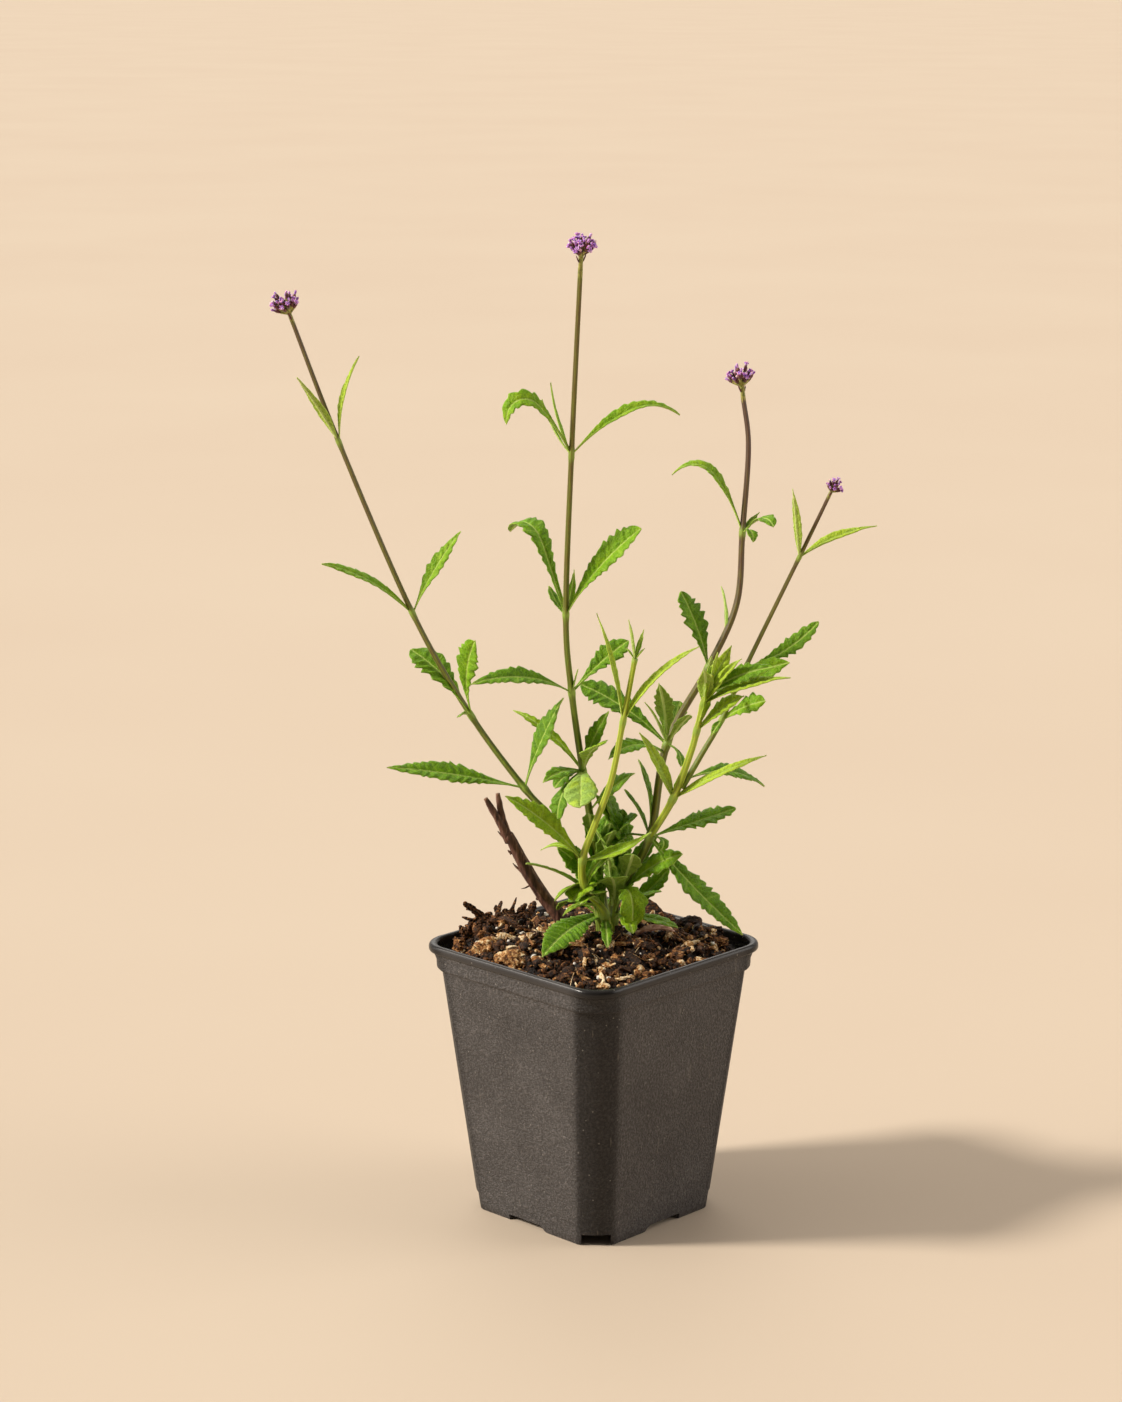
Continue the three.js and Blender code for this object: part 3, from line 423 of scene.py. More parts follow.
def cane_bark_material():
    """Dead bark on the cut-back cane: dark reddish brown, grey where weathered, split lengthwise, over
    paler torn wood that shows where the tone attribute is high."""
    made, tree, place = start_material("dead_cane_bark")
    tone = add(tree, "Attribute", output="Fac", attribute_name="tone")
    slant = add(tree, "Mapping", {"Vector": place, "Rotation": (0.0, 0.5, 0.0), "Scale": (1, 1, 0.12)})
    fissure = add(tree, "TexNoise", {"Vector": slant, "Scale": per_mm(1.1), "Detail": 6, "Roughness": 0.65})
    shade = add(tree, "ValToRGB", (fissure,), stops=[
        (0.3, "2a1812"), (0.44, "4f3125"), (0.56, "704a39"), (0.72, "977565"),
    ])
    wood = add(tree, "Mix", {0: tone, 6: shade, 7: colour("8d6548")}, **BLENDED)
    bump = add(tree, "Bump", {"Height": fissure, "Strength": 1.0, "Distance": 0.5 * MM})
    return plug(made, Base_Color=wood, Roughness=0.72, Normal=bump)


def petal_material(name, stops, grain, rough, glow):
    """Soft plant tissue of the flower head, in shades that vary from piece to piece over grain mm."""
    made, tree, place = start_material(name)
    blotch = add(tree, "TexNoise", {"Vector": place, "Scale": per_mm(grain), "Detail": 4})
    shade = add(tree, "ValToRGB", (blotch,), stops=stops)
    bump = add(tree, "Bump", {"Height": blotch, "Strength": 0.3, "Distance": 0.1 * MM})
    return plug(
        made, Base_Color=shade, Roughness=rough, Normal=bump, Sheen_Weight=0.2, Subsurface_Weight=glow,
        Subsurface_Scale=0.5 * MM,
    )


POT_PLASTIC = pot_plastic_material()
PEAT = mulch_material(
    "damp_peat", [(0.0, "0d0704"), (0.42, "1a0f08"), (0.62, "3a2213"), (0.8, "6b4122"), (1.0, "a37748")], 1.1
)
MULCH = mulch_material("composted_bark", [
    (0.0, "1a100a"), (0.2, "332012"), (0.42, "5e3b20"), (0.6, "935f31"), (0.8, "c69a60"), (1.0, "f0dcb6"),
], 0.8)
DEAD_LEAF = mulch_material("withered_leaf", [(0.1, "9a6a58"), (0.5, "c99a84"), (0.9, "e6c4ae")], 1.5)
PERLITE = perlite_material()
CANE_BARK = cane_bark_material()
STEM_RIND = stem_material()
LEAF_FACE = leaf_material("leaf_upper_face", [
    (0.0, "557e02"), (0.3, "729e05"), (0.55, "8cac10"), (0.78, "a3bc2a"), (0.9, "a2bc3e"), (1.0, "93b250"),
], "9aba3c", 0.45, "bcd26c")
LEAF_BACK = leaf_material("leaf_underside", [
    (0.0, "6e8c32"), (0.3, "7f9d38"), (0.55, "8eaa3c"), (0.8, "9cb644"), (1.0, "a8c050"),
], "aec262", 0.4, "c6d684")
FLOWER_MATERIALS = [petal_material(*row) for row in (
    ("flower_stalk_green", [(0.35, "6f722a"), (0.55, "95933f"), (0.8, "bcb26a")], 1.2, 0.55, 0.2),
    ("calyx_maroon", [(0.3, "3a1220"), (0.5, "5c202b"), (0.64, "733a2e"), (0.8, "8a6a3c")], 1.1, 0.55, 0.1),
    ("petal_lilac", [(0.34, "8444a2"), (0.5, "bf7fd6"), (0.66, "efc6f4")], 1.1, 0.5, 0.4),
    ("bud_pinkish_white", [(0.3, "cf9aa8"), (0.55, "efd3d6"), (0.8, "fbf3f0")], 0.7, 0.5, 0.4),
)]
GREEN, MAROON, LILAC, PINK = range(len(FLOWER_MATERIALS))

# ---- Modelling helpers ----


def in_scene(name, data):
    """A new object in the scene that holds a mesh, a light or a camera."""
    made = bpy.data.objects.new(name, data)
    bpy.context.scene.collection.objects.link(made)
    return made


def meshed(name, bm, materials=()):
    """A new object in the scene made of bm, which is used up."""
    mesh = bpy.data.meshes.new(name)
    bm.to_mesh(mesh)
    bm.free()
    for material in materials:
        mesh.materials.append(material)
    return in_scene(name, mesh)


def shade_smooth(bm, sharp):
    """Shades the faces smooth, with the edges over sharp degrees kept crisp."""
    for face in bm.faces:
        face.smooth = True
    for edge in bm.edges:
        edge.smooth = not (edge.is_manifold and edge.calc_face_angle(0) > math.radians(sharp))


def piece(name, bm, placing, materials, slot, *nodes, sharp=180):
    """Makes the finished piece, placed and shaded, for the frame's nodes it replaces. slot, a material slot's
    name, is not used.
    """
    bm.transform(placing)
    shade_smooth(bm, sharp)
    made = meshed(name, bm, materials)
    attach(made, "root")
    if nodes:
        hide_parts(*nodes)
    return made


def point_on(route, place):
    """The point of a smooth line through the route's points; place 2.5 is halfway from point 2 to 3."""
    i = max(0, min(int(place), len(route) - 2))
    t = place - i
    p1, p2 = route[i], route[i + 1]
    p0 = route[i - 1] if i > 0 else 2 * p1 - p2
    p3 = route[i + 2] if i + 2 < len(route) else 2 * p2 - p1
    m1, m2 = (p2 - p0) / 2, (p3 - p1) / 2
    return (((2 * p1 - 2 * p2 + m1 + m2) * t + 3 * p2 - 3 * p1 - 2 * m1 - m2) * t + m1) * t + p1


def heading_on(route, place):
    """The direction of the line at a place."""
    reach = 0.01
    return (point_on(route, place + reach) - point_on(route, place - reach)).normalized()


def vectors(points):
    """Vectors of a table's points."""
    return [Vector(p) for p in points]


def smoothstep(value, low, high):
    """Rises smoothly from 0 at low to 1 at high."""
    t = max(0.0, min(1.0, (value - low) / (high - low)))
    return t * t * (3 - 2 * t)


def mix(low, high, share):
    """The value at a share of the way from low to high."""
    return low + (high - low) * share


def tube(bm, route, sides, rings, radius):
    """Adds a closed bar along a route. radius(share, angle) gives its radius; returns its vertices with
    their share of the length and angle, for the attributes."""
    last = len(route) - 1
    made = bmesh.ops.create_grid(bm, x_segments=rings, y_segments=sides, size=1)["verts"]
    facts = {}
    for vertex in made:
        share = (vertex.co.x + 1) / 2
        angle = vertex.co.y * math.pi
        heading = heading_on(route, share * last)
        across = Vector((1, 0, 0)).cross(heading).normalized()
        outward = heading.cross(across)
        way = math.cos(angle) * across + math.sin(angle) * outward
        facts[vertex] = (share, angle)
        vertex.co = point_on(route, share * last) + radius(share, angle) * way
    seam = [v for v in made if abs(abs(facts[v][1]) - math.pi) < 1e-4]
    bmesh.ops.remove_doubles(bm, verts=seam, dist=1e-4)
    kept = [v for v in made if v.is_valid]
    rim = {e for v in kept for e in v.link_edges if e.is_boundary}
    bmesh.ops.holes_fill(bm, edges=list(rim), sides=0)
    faces = {f for v in kept for f in v.link_faces}
    bmesh.ops.recalc_face_normals(bm, faces=list(faces))
    return {v: facts[v] for v in kept}


# ---- Pot ----

# Millimetres, with half sides measured from the axis
POT_FOOT_HALF = 33.2
POT_SHOULDER_HALF = 43.2
POT_SHOULDER_HEIGHT = 90.5
POT_HEIGHT = 100
POT_WALL = 1.2
POT_FLOOR = (4, 5.2)  # heights of its underside and top
NOTCH_HALF = 5.2  # of the feet's corner notches
NOTCH_HEIGHTS = ((-45, 4.3), (45, 6.3), (135, 4.3), (225, 6.3))  # by the direction of the corner
DRAIN_RADIUS = 3.5
DRAIN_OFFSET = 20
OUTLINE_STEPS = 11  # from the middle of a side to the middle of a corner
SIDE_SHARES = (0, 0.3, 0.6, 0.85, 0.97)  # places along the straight of a side


def pot_half(height):
    """Half of a side of the tapered body, outside, at a height."""
    return mix(POT_FOOT_HALF, POT_SHOULDER_HALF, height / POT_SHOULDER_HEIGHT)


def corner_at(height):
    """How far a corner face reaches along a side, and its bulge as a share of that: nearly flat on the
    body, rounder on the band, and a true quarter circle on the lip."""
    if height < POT_SHOULDER_HEIGHT:
        share = height / POT_SHOULDER_HEIGHT
        return mix(9.2, 10.8, share), mix(0.15, 0.1, share)
    return 10.6, mix(0.17, 0.29, smoothstep(height, 94, 97.5))


def outline_point(step, half, height):
    """The pot's outline, a number of steps from the middle of the side that faces +X."""
    corner, bulge = corner_at(height)
    corner = min(corner, 0.35 * half)
    reach = half - corner
    steps = min(abs(step), 2 * OUTLINE_STEPS - abs(step))
    bow = bulge * corner
    radius = (corner**2 / 2 + bow**2) / (2 * bow)
    middle = (half + reach) / math.sqrt(2) + bow - radius
    spread = math.asin(corner / math.sqrt(2) / radius)
    straight = len(SIDE_SHARES)
    if steps < straight:
        x, y = half, reach * SIDE_SHARES[steps]
    else:
        turn = math.pi / 4 - spread * (1 - (steps - straight) / (OUTLINE_STEPS - straight))
        x = middle / math.sqrt(2) + radius * math.cos(turn)
        y = middle / math.sqrt(2) + radius * math.sin(turn)
    if abs(step) > OUTLINE_STEPS:
        x, y = y, x
    return Vector((x, math.copysign(y, step) if step else 0.0, 0))


def squared(bm):
    """Draws a turned shape out to the pot's outline."""
    around = 8 * OUTLINE_STEPS
    for vertex in bm.verts:
        half = vertex.co.xy.length
        if half < 1e-3:
            continue
        step = round(math.atan2(vertex.co.y, vertex.co.x) / (2 * math.pi) * around) % around
        side = (step + OUTLINE_STEPS) // (2 * OUTLINE_STEPS)
        flat = outline_point(step - side * 2 * OUTLINE_STEPS, half, vertex.co.z)
        turned = Matrix.Rotation(side * math.pi / 2, 3, "Z") @ flat
        vertex.co = Vector((turned.x, turned.y, vertex.co.z))


def turned_shape(profile):
    """Spins a profile of radius and height round the axis into a closed shape."""
    bm = bmesh.new()
    line = [bm.verts.new((radius, 0, height)) for radius, height in profile]
    edges = [bm.edges.new(pair) for pair in zip(line, line[1:])]
    bmesh.ops.spin(
        bm, geom=line + edges, cent=(0, 0, 0), axis=(0, 0, 1), angle=2 * math.pi,
        steps=8 * OUTLINE_STEPS, use_merge=True,
    )
    bmesh.ops.remove_doubles(bm, verts=bm.verts, dist=1e-4)
    bmesh.ops.recalc_face_normals(bm, faces=bm.faces)
    return bm


def cutter(bm, outline, low, high, turn):
    """Adds a prism over an outline of points in a plane, drawn from low to high, then turned."""
    base = bm.faces.new([bm.verts.new((x, y, low)) for x, y in outline])
    drawn = bmesh.ops.extrude_face_region(bm, geom=[base])["geom"]
    top = [v for v in drawn if isinstance(v, bmesh.types.BMVert)]
    bmesh.ops.translate(bm, verts=top, vec=(0, 0, high - low))
    whole = list({v for f in bm.faces for v in f.verts if v in base.verts or v in top})
    bmesh.ops.transform(bm, verts=whole, matrix=turn)


def foot_cutters():
    """The foot's side slots and corner notches and the drain holes, to be cut from the pot."""
    bm = bmesh.new()
    # each side's slot runs past its middle and ends in a slant
    slot = [(-10, -1), (8.6, -1), (8.6, 0), (5.6, 2.2), (-10, 2.2)]
    upright = Matrix.Rotation(math.pi / 2, 4, "X")
    for half_turn in (0, math.pi):
        for flip in (1, -1):
            turn = Matrix.Rotation(half_turn + (0 if flip == 1 else math.pi / 2), 4, "Z")
            shape = [(flip * x, z) for x, z in slot]
            cutter(bm, shape, POT_FOOT_HALF - 4, POT_FOOT_HALF + 2, turn @ upright)
    # blocks across the corners, and round holes through the floor, one in the middle and four about it
    middle = (POT_FOOT_HALF - 4.7) * math.sqrt(2)
    corners = ((-1, -1), (1, -1), (1, 1), (-1, 1))
    for angle, height in NOTCH_HEIGHTS:
        block = [(middle + 6 * x, NOTCH_HALF * y) for x, y in corners]
        cutter(bm, block, -1, height, Matrix.Rotation(math.radians(angle), 4, "Z"))
    for x, y in ((0, 0), (1, 1), (-1, 1), (-1, -1), (1, -1)):
        hole = Matrix.Translation((DRAIN_OFFSET * x, DRAIN_OFFSET * y, sum(POT_FLOOR) / 2))
        bmesh.ops.create_cone(
            bm, cap_ends=True, segments=24, radius1=DRAIN_RADIUS, radius2=DRAIN_RADIUS, depth=4, matrix=hole
        )
    bmesh.ops.recalc_face_normals(bm, faces=bm.faces)
    bm.transform(POT_FRAME)
    return meshed("foot_cutters", bm)


def make_pot():
    """The moulded pot: tapered body, shoulder step, plain band, rolled lip, thin wall and raised floor."""
    under, floor = POT_FLOOR
    rows = [
        (0, under), (12, under), (24, under), (pot_half(under) - POT_WALL, under),
        (POT_FOOT_HALF - POT_WALL, 0.3), (POT_FOOT_HALF - POT_WALL + 0.3, 0),
        (POT_FOOT_HALF - 0.3, 0), (POT_FOOT_HALF, 0.3),
    ]
    rows += [(pot_half(z), z) for z in (3, 7, 14, 26, 40, 54, 68, 80, 88)]
    rows += [
        (43.15, 90.3), (43.3, 90.7), (43.7, 90.95), (43.88, 91.25), (43.92, 91.8), (43.98, 94),
        (44.02, 96.3), (44.1, 96.65), (44.45, 96.85), (44.8, 97.1), (44.98, 97.6), (45, 98.3),
        (44.95, 99), (44.7, 99.6), (44.3, 99.92), (43.8, POT_HEIGHT), (43.3, 99.92), (42.9, 99.6),
        (42.7, 99.1), (42.6, 98), (42.6, 91.5), (42.3, 90.8), (42, 90.4),
        (pot_half(60) - POT_WALL, 60), (pot_half(5.4) - POT_WALL, 5.4),
        (pot_half(floor) - POT_WALL - 0.4, floor), (24, floor), (12, floor), (0, floor),
    ]
    bm = turned_shape(rows)
    squared(bm)
    pot = piece("nursery_pot", bm, POT_FRAME, [POT_PLASTIC], "pot_plastic", "pot")
    tools = foot_cutters()
    cut = pot.modifiers.new("foot_cutouts", "BOOLEAN")
    cut.operation = "DIFFERENCE"
    cut.solver = "EXACT"
    cut.object = tools
    solid = bpy.data.meshes.new_from_object(pot.evaluated_get(bpy.context.evaluated_depsgraph_get()))
    pot.modifiers.clear()
    pot.data = solid
    bpy.data.objects.remove(tools)
    bm = bmesh.new()
    bm.from_mesh(solid)
    bmesh.ops.remove_doubles(bm, verts=bm.verts, dist=1e-7)
    shade_smooth(bm, 50)
    bm.to_mesh(solid)
    bm.free()


# ---- Potting mix ----

MIX_HALF = 41.4
MIX_CORNER = 0.26  # share of the half side that a corner takes
CROWN_HEIGHT = 103
RIM_HEIGHT = 96.6
# Heaps: middle in the plant's frame, height and radius
HEAPS = [
    ((-34, 13), 5.5, 9), ((-22, 22), 2.5, 8), ((38, 12), 3.5, 8), ((22, 30), 2.0, 8), ((-30, -14), 1.5, 9),
]


def mix_share(x, y):
    """How far a place on the mix lies from the axis to the wall."""
    return max(abs(x), abs(y), (abs(x) + abs(y)) / (2 - MIX_CORNER)) / MIX_HALF


def ground(x, y):
    """Height of the lumpy surface of the mix at a place in the pot's frame."""
    share = min(mix_share(x, y), 1)
    place = Vector((x, y, 0))
    clods = 3.4 * (noise.noise(place / 7.5 + Vector((3, 1, 4))) + 0.2)
    furrows = 1.5 * abs(noise.noise(place / 3.6 + Vector((7, 3, 1)))) - 0.5
    crumbs = 0.9 * noise.noise(place / 1.3) + 0.4 * noise.noise(place / 0.6)
    loose = mix(1, 0.5, smoothstep(share, 0.85, 1))
    for middle, high, wide in HEAPS:
        away = (place - PLANT_TURNED @ Vector((*middle, 0))).length
        clods += high * math.exp(-((away / wide) ** 2))
    return mix(CROWN_HEIGHT, RIM_HEIGHT, share**2.1) - 1.4 + loose * (clods + furrows + crumbs)


def on_ground(x, y, lift):
    """The place in the pot's frame that is lift over the surface of the mix."""
    return Vector((x, y, ground(x, y) + lift))


def make_mix():
    """The bed of peat: the lumpy surface and the sides and bottom under it, down to the pot's floor."""
    bm = bmesh.new()
    bmesh.ops.create_grid(bm, x_segments=210, y_segments=210, size=1)
    tone = bm.verts.layers.float.new("tone")
    for vertex in bm.verts:
        u, v = vertex.co.xy
        share = max(abs(u), abs(v))
        pull = min(1, (2 - MIX_CORNER) * share / max(abs(u) + abs(v), 1e-6))
        x, y = u * pull * MIX_HALF, v * pull * MIX_HALF
        flat = Vector((x, y, 0))
        vertex.co = on_ground(x, y, 0)
        vertex[tone] = 0.3 + 0.5 * noise.noise(flat / 3) + 0.5 * noise.noise(flat / 0.9)
    rim = [e for e in bm.edges if e.is_boundary]
    for depth_half, height in ((MIX_HALF, 90.4), (pot_half(5.6) - POT_WALL - 0.6, 5.6)):
        drawn = bmesh.ops.extrude_edge_only(bm, edges=rim)["geom"]
        for vertex in (g for g in drawn if isinstance(g, bmesh.types.BMVert)):
            shrink = depth_half / MIX_HALF if height < 50 else 1
            vertex.co = Vector((vertex.co.x * shrink, vertex.co.y * shrink, height))
        rim = [g for g in drawn if isinstance(g, bmesh.types.BMEdge)]
    bmesh.ops.holes_fill(bm, edges=rim, sides=0)
    bmesh.ops.recalc_face_normals(bm, faces=bm.faces)
    piece("potting_mix_bed", bm, POT_FRAME, [PEAT], "potting_mix", "potting_mix")


def scatter(items, grow):
    """Gathers small shapes in one mesh, each grown alone and given its tone by grow(bm, layer, item)."""
    whole = bmesh.new()
    whole.verts.layers.float.new("tone")
    carrier = bpy.data.meshes.new("carrier")
    for item in items:
        part = bmesh.new()
        grow(part, part.verts.layers.float.new("tone"), item)
        part.to_mesh(carrier)
        part.free()
        whole.from_mesh(carrier)
    bpy.data.meshes.remove(carrier)
    return whole


def random_turn(rng, tilt):
    """A turn that lays a long piece down along X, then tilts it by up to tilt radians and turns it about."""
    return (
        Matrix.Rotation(rng.uniform(0, 2 * math.pi), 3, "Z")
        @ Matrix.Rotation(rng.uniform(-tilt, tilt), 3, "Y")
        @ Matrix.Rotation(rng.uniform(0, 2 * math.pi), 3, "X")
    )


def somewhere(rng, most):
    """A random place on the mix, at most a share of the way to the wall."""
    while True:
        x, y = rng.uniform(-MIX_HALF, MIX_HALF), rng.uniform(-MIX_HALF, MIX_HALF)
        if mix_share(x, y) < most:
            return x, y


def random_vector(rng):
    """A random shift into the noise, so that no two lumps are alike."""
    return Vector((rng.uniform(0, 99), rng.uniform(0, 99), rng.uniform(0, 99)))


def lump(bm, layer, tone, place, size, turn, rough, rng, detail):
    """Adds a rough lump: a ball of a few faces, roughened, stretched to its half sizes and turned."""
    seed = random_vector(rng)
    for vertex in bmesh.ops.create_icosphere(bm, subdivisions=detail, radius=1)["verts"]:
        swell = 1 + rough * (noise.noise(vertex.co * 1.7 + seed) + 0.6 * noise.noise(vertex.co * 4 + seed))
        vertex.co = place + turn @ Vector([c * s * swell for c, s in zip(vertex.co, size)])
        vertex[layer] = tone


def shard(bm, layer, tone, place, size, turn, rng, sides=8, rings=6):
    """Adds a torn flake of bark along X: squarish, ridged along its fibres and splintered at its ends."""
    depths = [rng.uniform(0.72, 1.12) for _ in range(sides)]
    tears = [[rng.uniform(0, 0.5) ** 1.5 for _ in range(sides)] for _ in range(2)]
    seed = random_vector(rng)
    bend = Vector((0, rng.uniform(-0.16, 0.16), rng.uniform(-0.05, 0.16))) * size[0]
    line = [Vector((-1, 0, 0)), Vector((0, 0, 0)), Vector((1, 0, 0))]
    facts = tube(bm, line, sides, rings, lambda share, angle: 1)
    for vertex, (share, angle) in facts.items():
        number = round((angle / math.pi + 1) / 2 * sides) % sides
        end = tears[share > 0.5][number] * abs(2 * share - 1) ** 3
        along = (2 * share - 1) * (1 - end)
        worn = 1 - 0.35 * abs(along) ** 4
        swell = depths[number] * worn * (1 + 0.25 * noise.noise(Vector((2.5 * along, number, 0)) + seed))
        across, high = math.cos(angle), math.sin(angle)
        box = 1 / max(abs(across), abs(high)) ** 0.6
        point = Vector((along * size[0], across * box * swell * size[1], high * box * swell * size[2]))
        vertex.co = place + turn @ (point + bend * (1 - along**2))
        vertex[layer] = tone


def bark_tone(rng):
    """The tone of a crumb: most are near black, many brown and a few straw or cream."""
    middle, spread = rng.choices(((0.18, 0.09), (0.42, 0.1), (0.82, 0.12)), (0.52, 0.33, 0.15))[0]
    return min(1, max(0.02, rng.gauss(middle, spread)))


def make_crumbs():
    """Peat and bark crumbs, the bulk of the surface."""
    rng = random.Random(11)

    def grow(bm, layer, _):
        x, y = somewhere(rng, 0.97)
        size = 0.22 + 0.85 * rng.random() ** 2.2
        half_sizes = (size * rng.uniform(0.8, 2.4), size, size * rng.uniform(0.6, 1))
        place = on_ground(x, y, rng.uniform(-0.1, 0.8) * size)
        detail = 2 if size > 0.6 else 1
        lump(bm, layer, bark_tone(rng), place, half_sizes, random_turn(rng, 0.6), 0.5, rng, detail)

    piece("peat_crumbs", scatter(range(3000), grow), POT_FRAME, [MULCH], "potting_mix")


def make_clods():
    """Soft lumps of bark and peat a few millimetres across, rounded by composting."""
    rng = random.Random(83)

    def grow(bm, layer, _):
        x, y = somewhere(rng, 0.93)
        size = rng.uniform(0.8, 1.9)
        half_sizes = (size * rng.uniform(1.0, 1.7), size, size * rng.uniform(0.6, 1))
        place = on_ground(x, y, rng.uniform(0, 0.5) * size)
        lump(bm, layer, min(0.8, bark_tone(rng)), place, half_sizes, random_turn(rng, 0.6), 0.7, rng, 2)
        for vertex in bm.verts:
            vertex[layer] += 0.5 * noise.noise(vertex.co * 1.1)

    piece("composted_clods", scatter(range(330), grow), POT_FRAME, [MULCH], "bark")


def make_shreds():
    """Shredded bark: torn flakes and splinters of all sizes, lying every way on the mix and on each other."""
    rng = random.Random(23)

    def grow(bm, layer, _):
        x, y = somewhere(rng, 0.94)
        length = mix(0.8, 4.6, rng.random() ** 2.4)
        width = length * rng.uniform(0.14, 0.4)
        size = (length, width, width * rng.uniform(0.4, 0.9))
        inward = 1 - 1.1 * length / MIX_HALF if mix_share(x, y) > 0.8 else 1
        place = Vector((x * inward, y * inward, 0))
        place.z = ground(place.x, place.y) + rng.uniform(0.0, 1.2)
        shard(bm, layer, bark_tone(rng), place, size, random_turn(rng, 0.55), rng)

    piece("bark_shreds", scatter(range(950), grow), POT_FRAME, [MULCH], "bark", sharp=65)


# Larger pieces of bark: middle from the pot's axis in the plant's frame, its height over the mix; half sizes;
# turn about the upright, lift of its end and roll in degrees; tone. First those that the frame has, by node.
BARK_PIECES = {
    "bark_chip_tan": ((-38, -9, 1.4), (5.0, 3.4, 2.8), 35, 22, 30, 0.66),
    "bark_chip_front": ((-28, -22, 1.2), (4.9, 3.2, 2.6), -25, -24, -25, 0.64),
    "bark_chip_back": ((-28, 21, 1.0), (6.4, 2.4, 2.6), 20, 22, 30, 0.3),
    "bark_chip_wedge": ((22, 34, 2.6), (7.6, 3.2, 2.6), -35, -34, 35, 0.28),
}
LOOSE_BARK = [
    ((-49, -3, 2.6), (3.6, 2.0, 1.3), 70, 68, 10, 0.5), ((-30, -19, 1.4), (5.4, 2.5, 1.8), 10, 8, 25, 0.7),
    ((44, 2, 1.4), (4.6, 1.8, 1.3), 15, 10, 15, 0.48), ((35, 14, 2.0), (4.2, 2.6, 2.2), -10, 14, 0, 0.1),
    ((44, 9, 1.6), (2.8, 1.8, 1.8), 30, 5, 20, 0.14), ((10, -40, 1.0), (4.4, 0.8, 0.5), 20, 4, 0, 0.95),
    ((3, -47, 0.9), (2.8, 1.6, 1.0), -15, 6, 0, 0.8), ((8, 46, 1.4), (6.0, 2.6, 1.4), 8, 6, 10, 0.4),
    ((-12, 38, 1.6), (5.0, 2.2, 1.6), 60, 14, 20, 0.56), ((30, -14, 1.2), (5.4, 2.2, 1.4), 75, 8, 15, 0.44),
]


def make_bark_pieces():
    """The larger flakes, each fibrous, torn at its ends, pitted and mottled lighter and darker."""
    rng = random.Random(61)

    def grow(bm, layer, row):
        middle, size, turn, lift, roll, tone = row
        at = PLANT_TURNED @ Vector((middle[0], middle[1], 0))
        tilt = Matrix.Rotation(math.radians(turn) + PLANT_TURN, 3, "Z")
        tilt = tilt @ Matrix.Rotation(math.radians(-lift), 3, "Y")
        tilt = tilt @ Matrix.Rotation(math.radians(roll), 3, "X")
        shard(bm, layer, tone, on_ground(at.x, at.y, middle[2]), size, tilt, rng, sides=22, rings=26)
        for vertex in bm.verts:
            grain = noise.noise(Vector((vertex.co.x * 0.5, vertex.co.y * 0.5, vertex.co.z * 2.2)))
            pits = noise.noise(vertex.co * 1.6)
            fine = noise.noise(vertex.co * 3.5)
            vertex.co += vertex.normal * (0.8 * grain + 0.7 * pits + 0.3 * fine)
            vertex[layer] = min(1, max(0, tone + 0.35 * grain + 0.35 * pits))

    for node, row in BARK_PIECES.items():
        bm = bmesh.new()
        grow(bm, bm.verts.layers.float.new("tone"), row)
        piece(node + "_flake", bm, POT_FRAME, [MULCH], "bark", node, sharp=60)
    piece("large_bark_pieces", scatter(LOOSE_BARK, grow), POT_FRAME, [MULCH], "bark", sharp=60)


# Dark half-rotted wood heaped at the back left: foot, top, half width and bluntness of each shred
ROTTED_SHREDS = [
    ((-38, 15, 102), (-47.2, 12, 110.6), 1.15, 0.3), ((-42, 14, 102.5), (-47.8, 12, 105), 0.5, 0.4),
    ((-44.5, 13, 107.8), (-46, 11, 108), 0.6, 0.6), ((-35, 17, 102), (-33.4, 18, 109.4), 0.95, 0.4),
    ((-34.6, 17, 105), (-35.4, 17.6, 108), 0.6, 0.6), ((-31.4, 19, 101), (-29.6, 20, 107), 1.4, 0.7),
    ((-30.4, 19.5, 105), (-28.2, 20, 110.2), 0.5, 0.7), ((-28, 21, 101), (-24.4, 22, 107.2), 1.5, 0.5),
    ((-25, 24, 100), (-21.4, 26, 107), 1.7, 0.4), ((-41, 12, 100), (-37, 15, 106), 2.2, 0.5),
    ((-45, 10, 99), (-42, 13, 104.6), 2.0, 0.5), ((-37, 11, 102), (-33, 14, 106.2), 2.2, 0.5),
    ((-29, 16, 101), (-33, 19, 106), 2.0, 0.5), ((-46, 7, 98), (-48.6, 8, 103), 1.6, 0.5),
    ((-29, 12, 101), (-25, 16, 105.4), 2.0, 0.5), ((-39, 8, 100), (-43, 8, 104.2), 1.8, 0.5),
    ((-33, 8, 101), (-30, 9, 104.6), 1.6, 0.5), ((34, 14, 98), (39, 16, 103), 2.2, 0.5),
    ((41, 10, 97), (44, 11, 102), 1.8, 0.5), ((30, 20, 98), (27, 23, 103.2), 1.9, 0.5),
    ((12, 38, 97), (17, 39, 103), 1.7, 0.5),
]


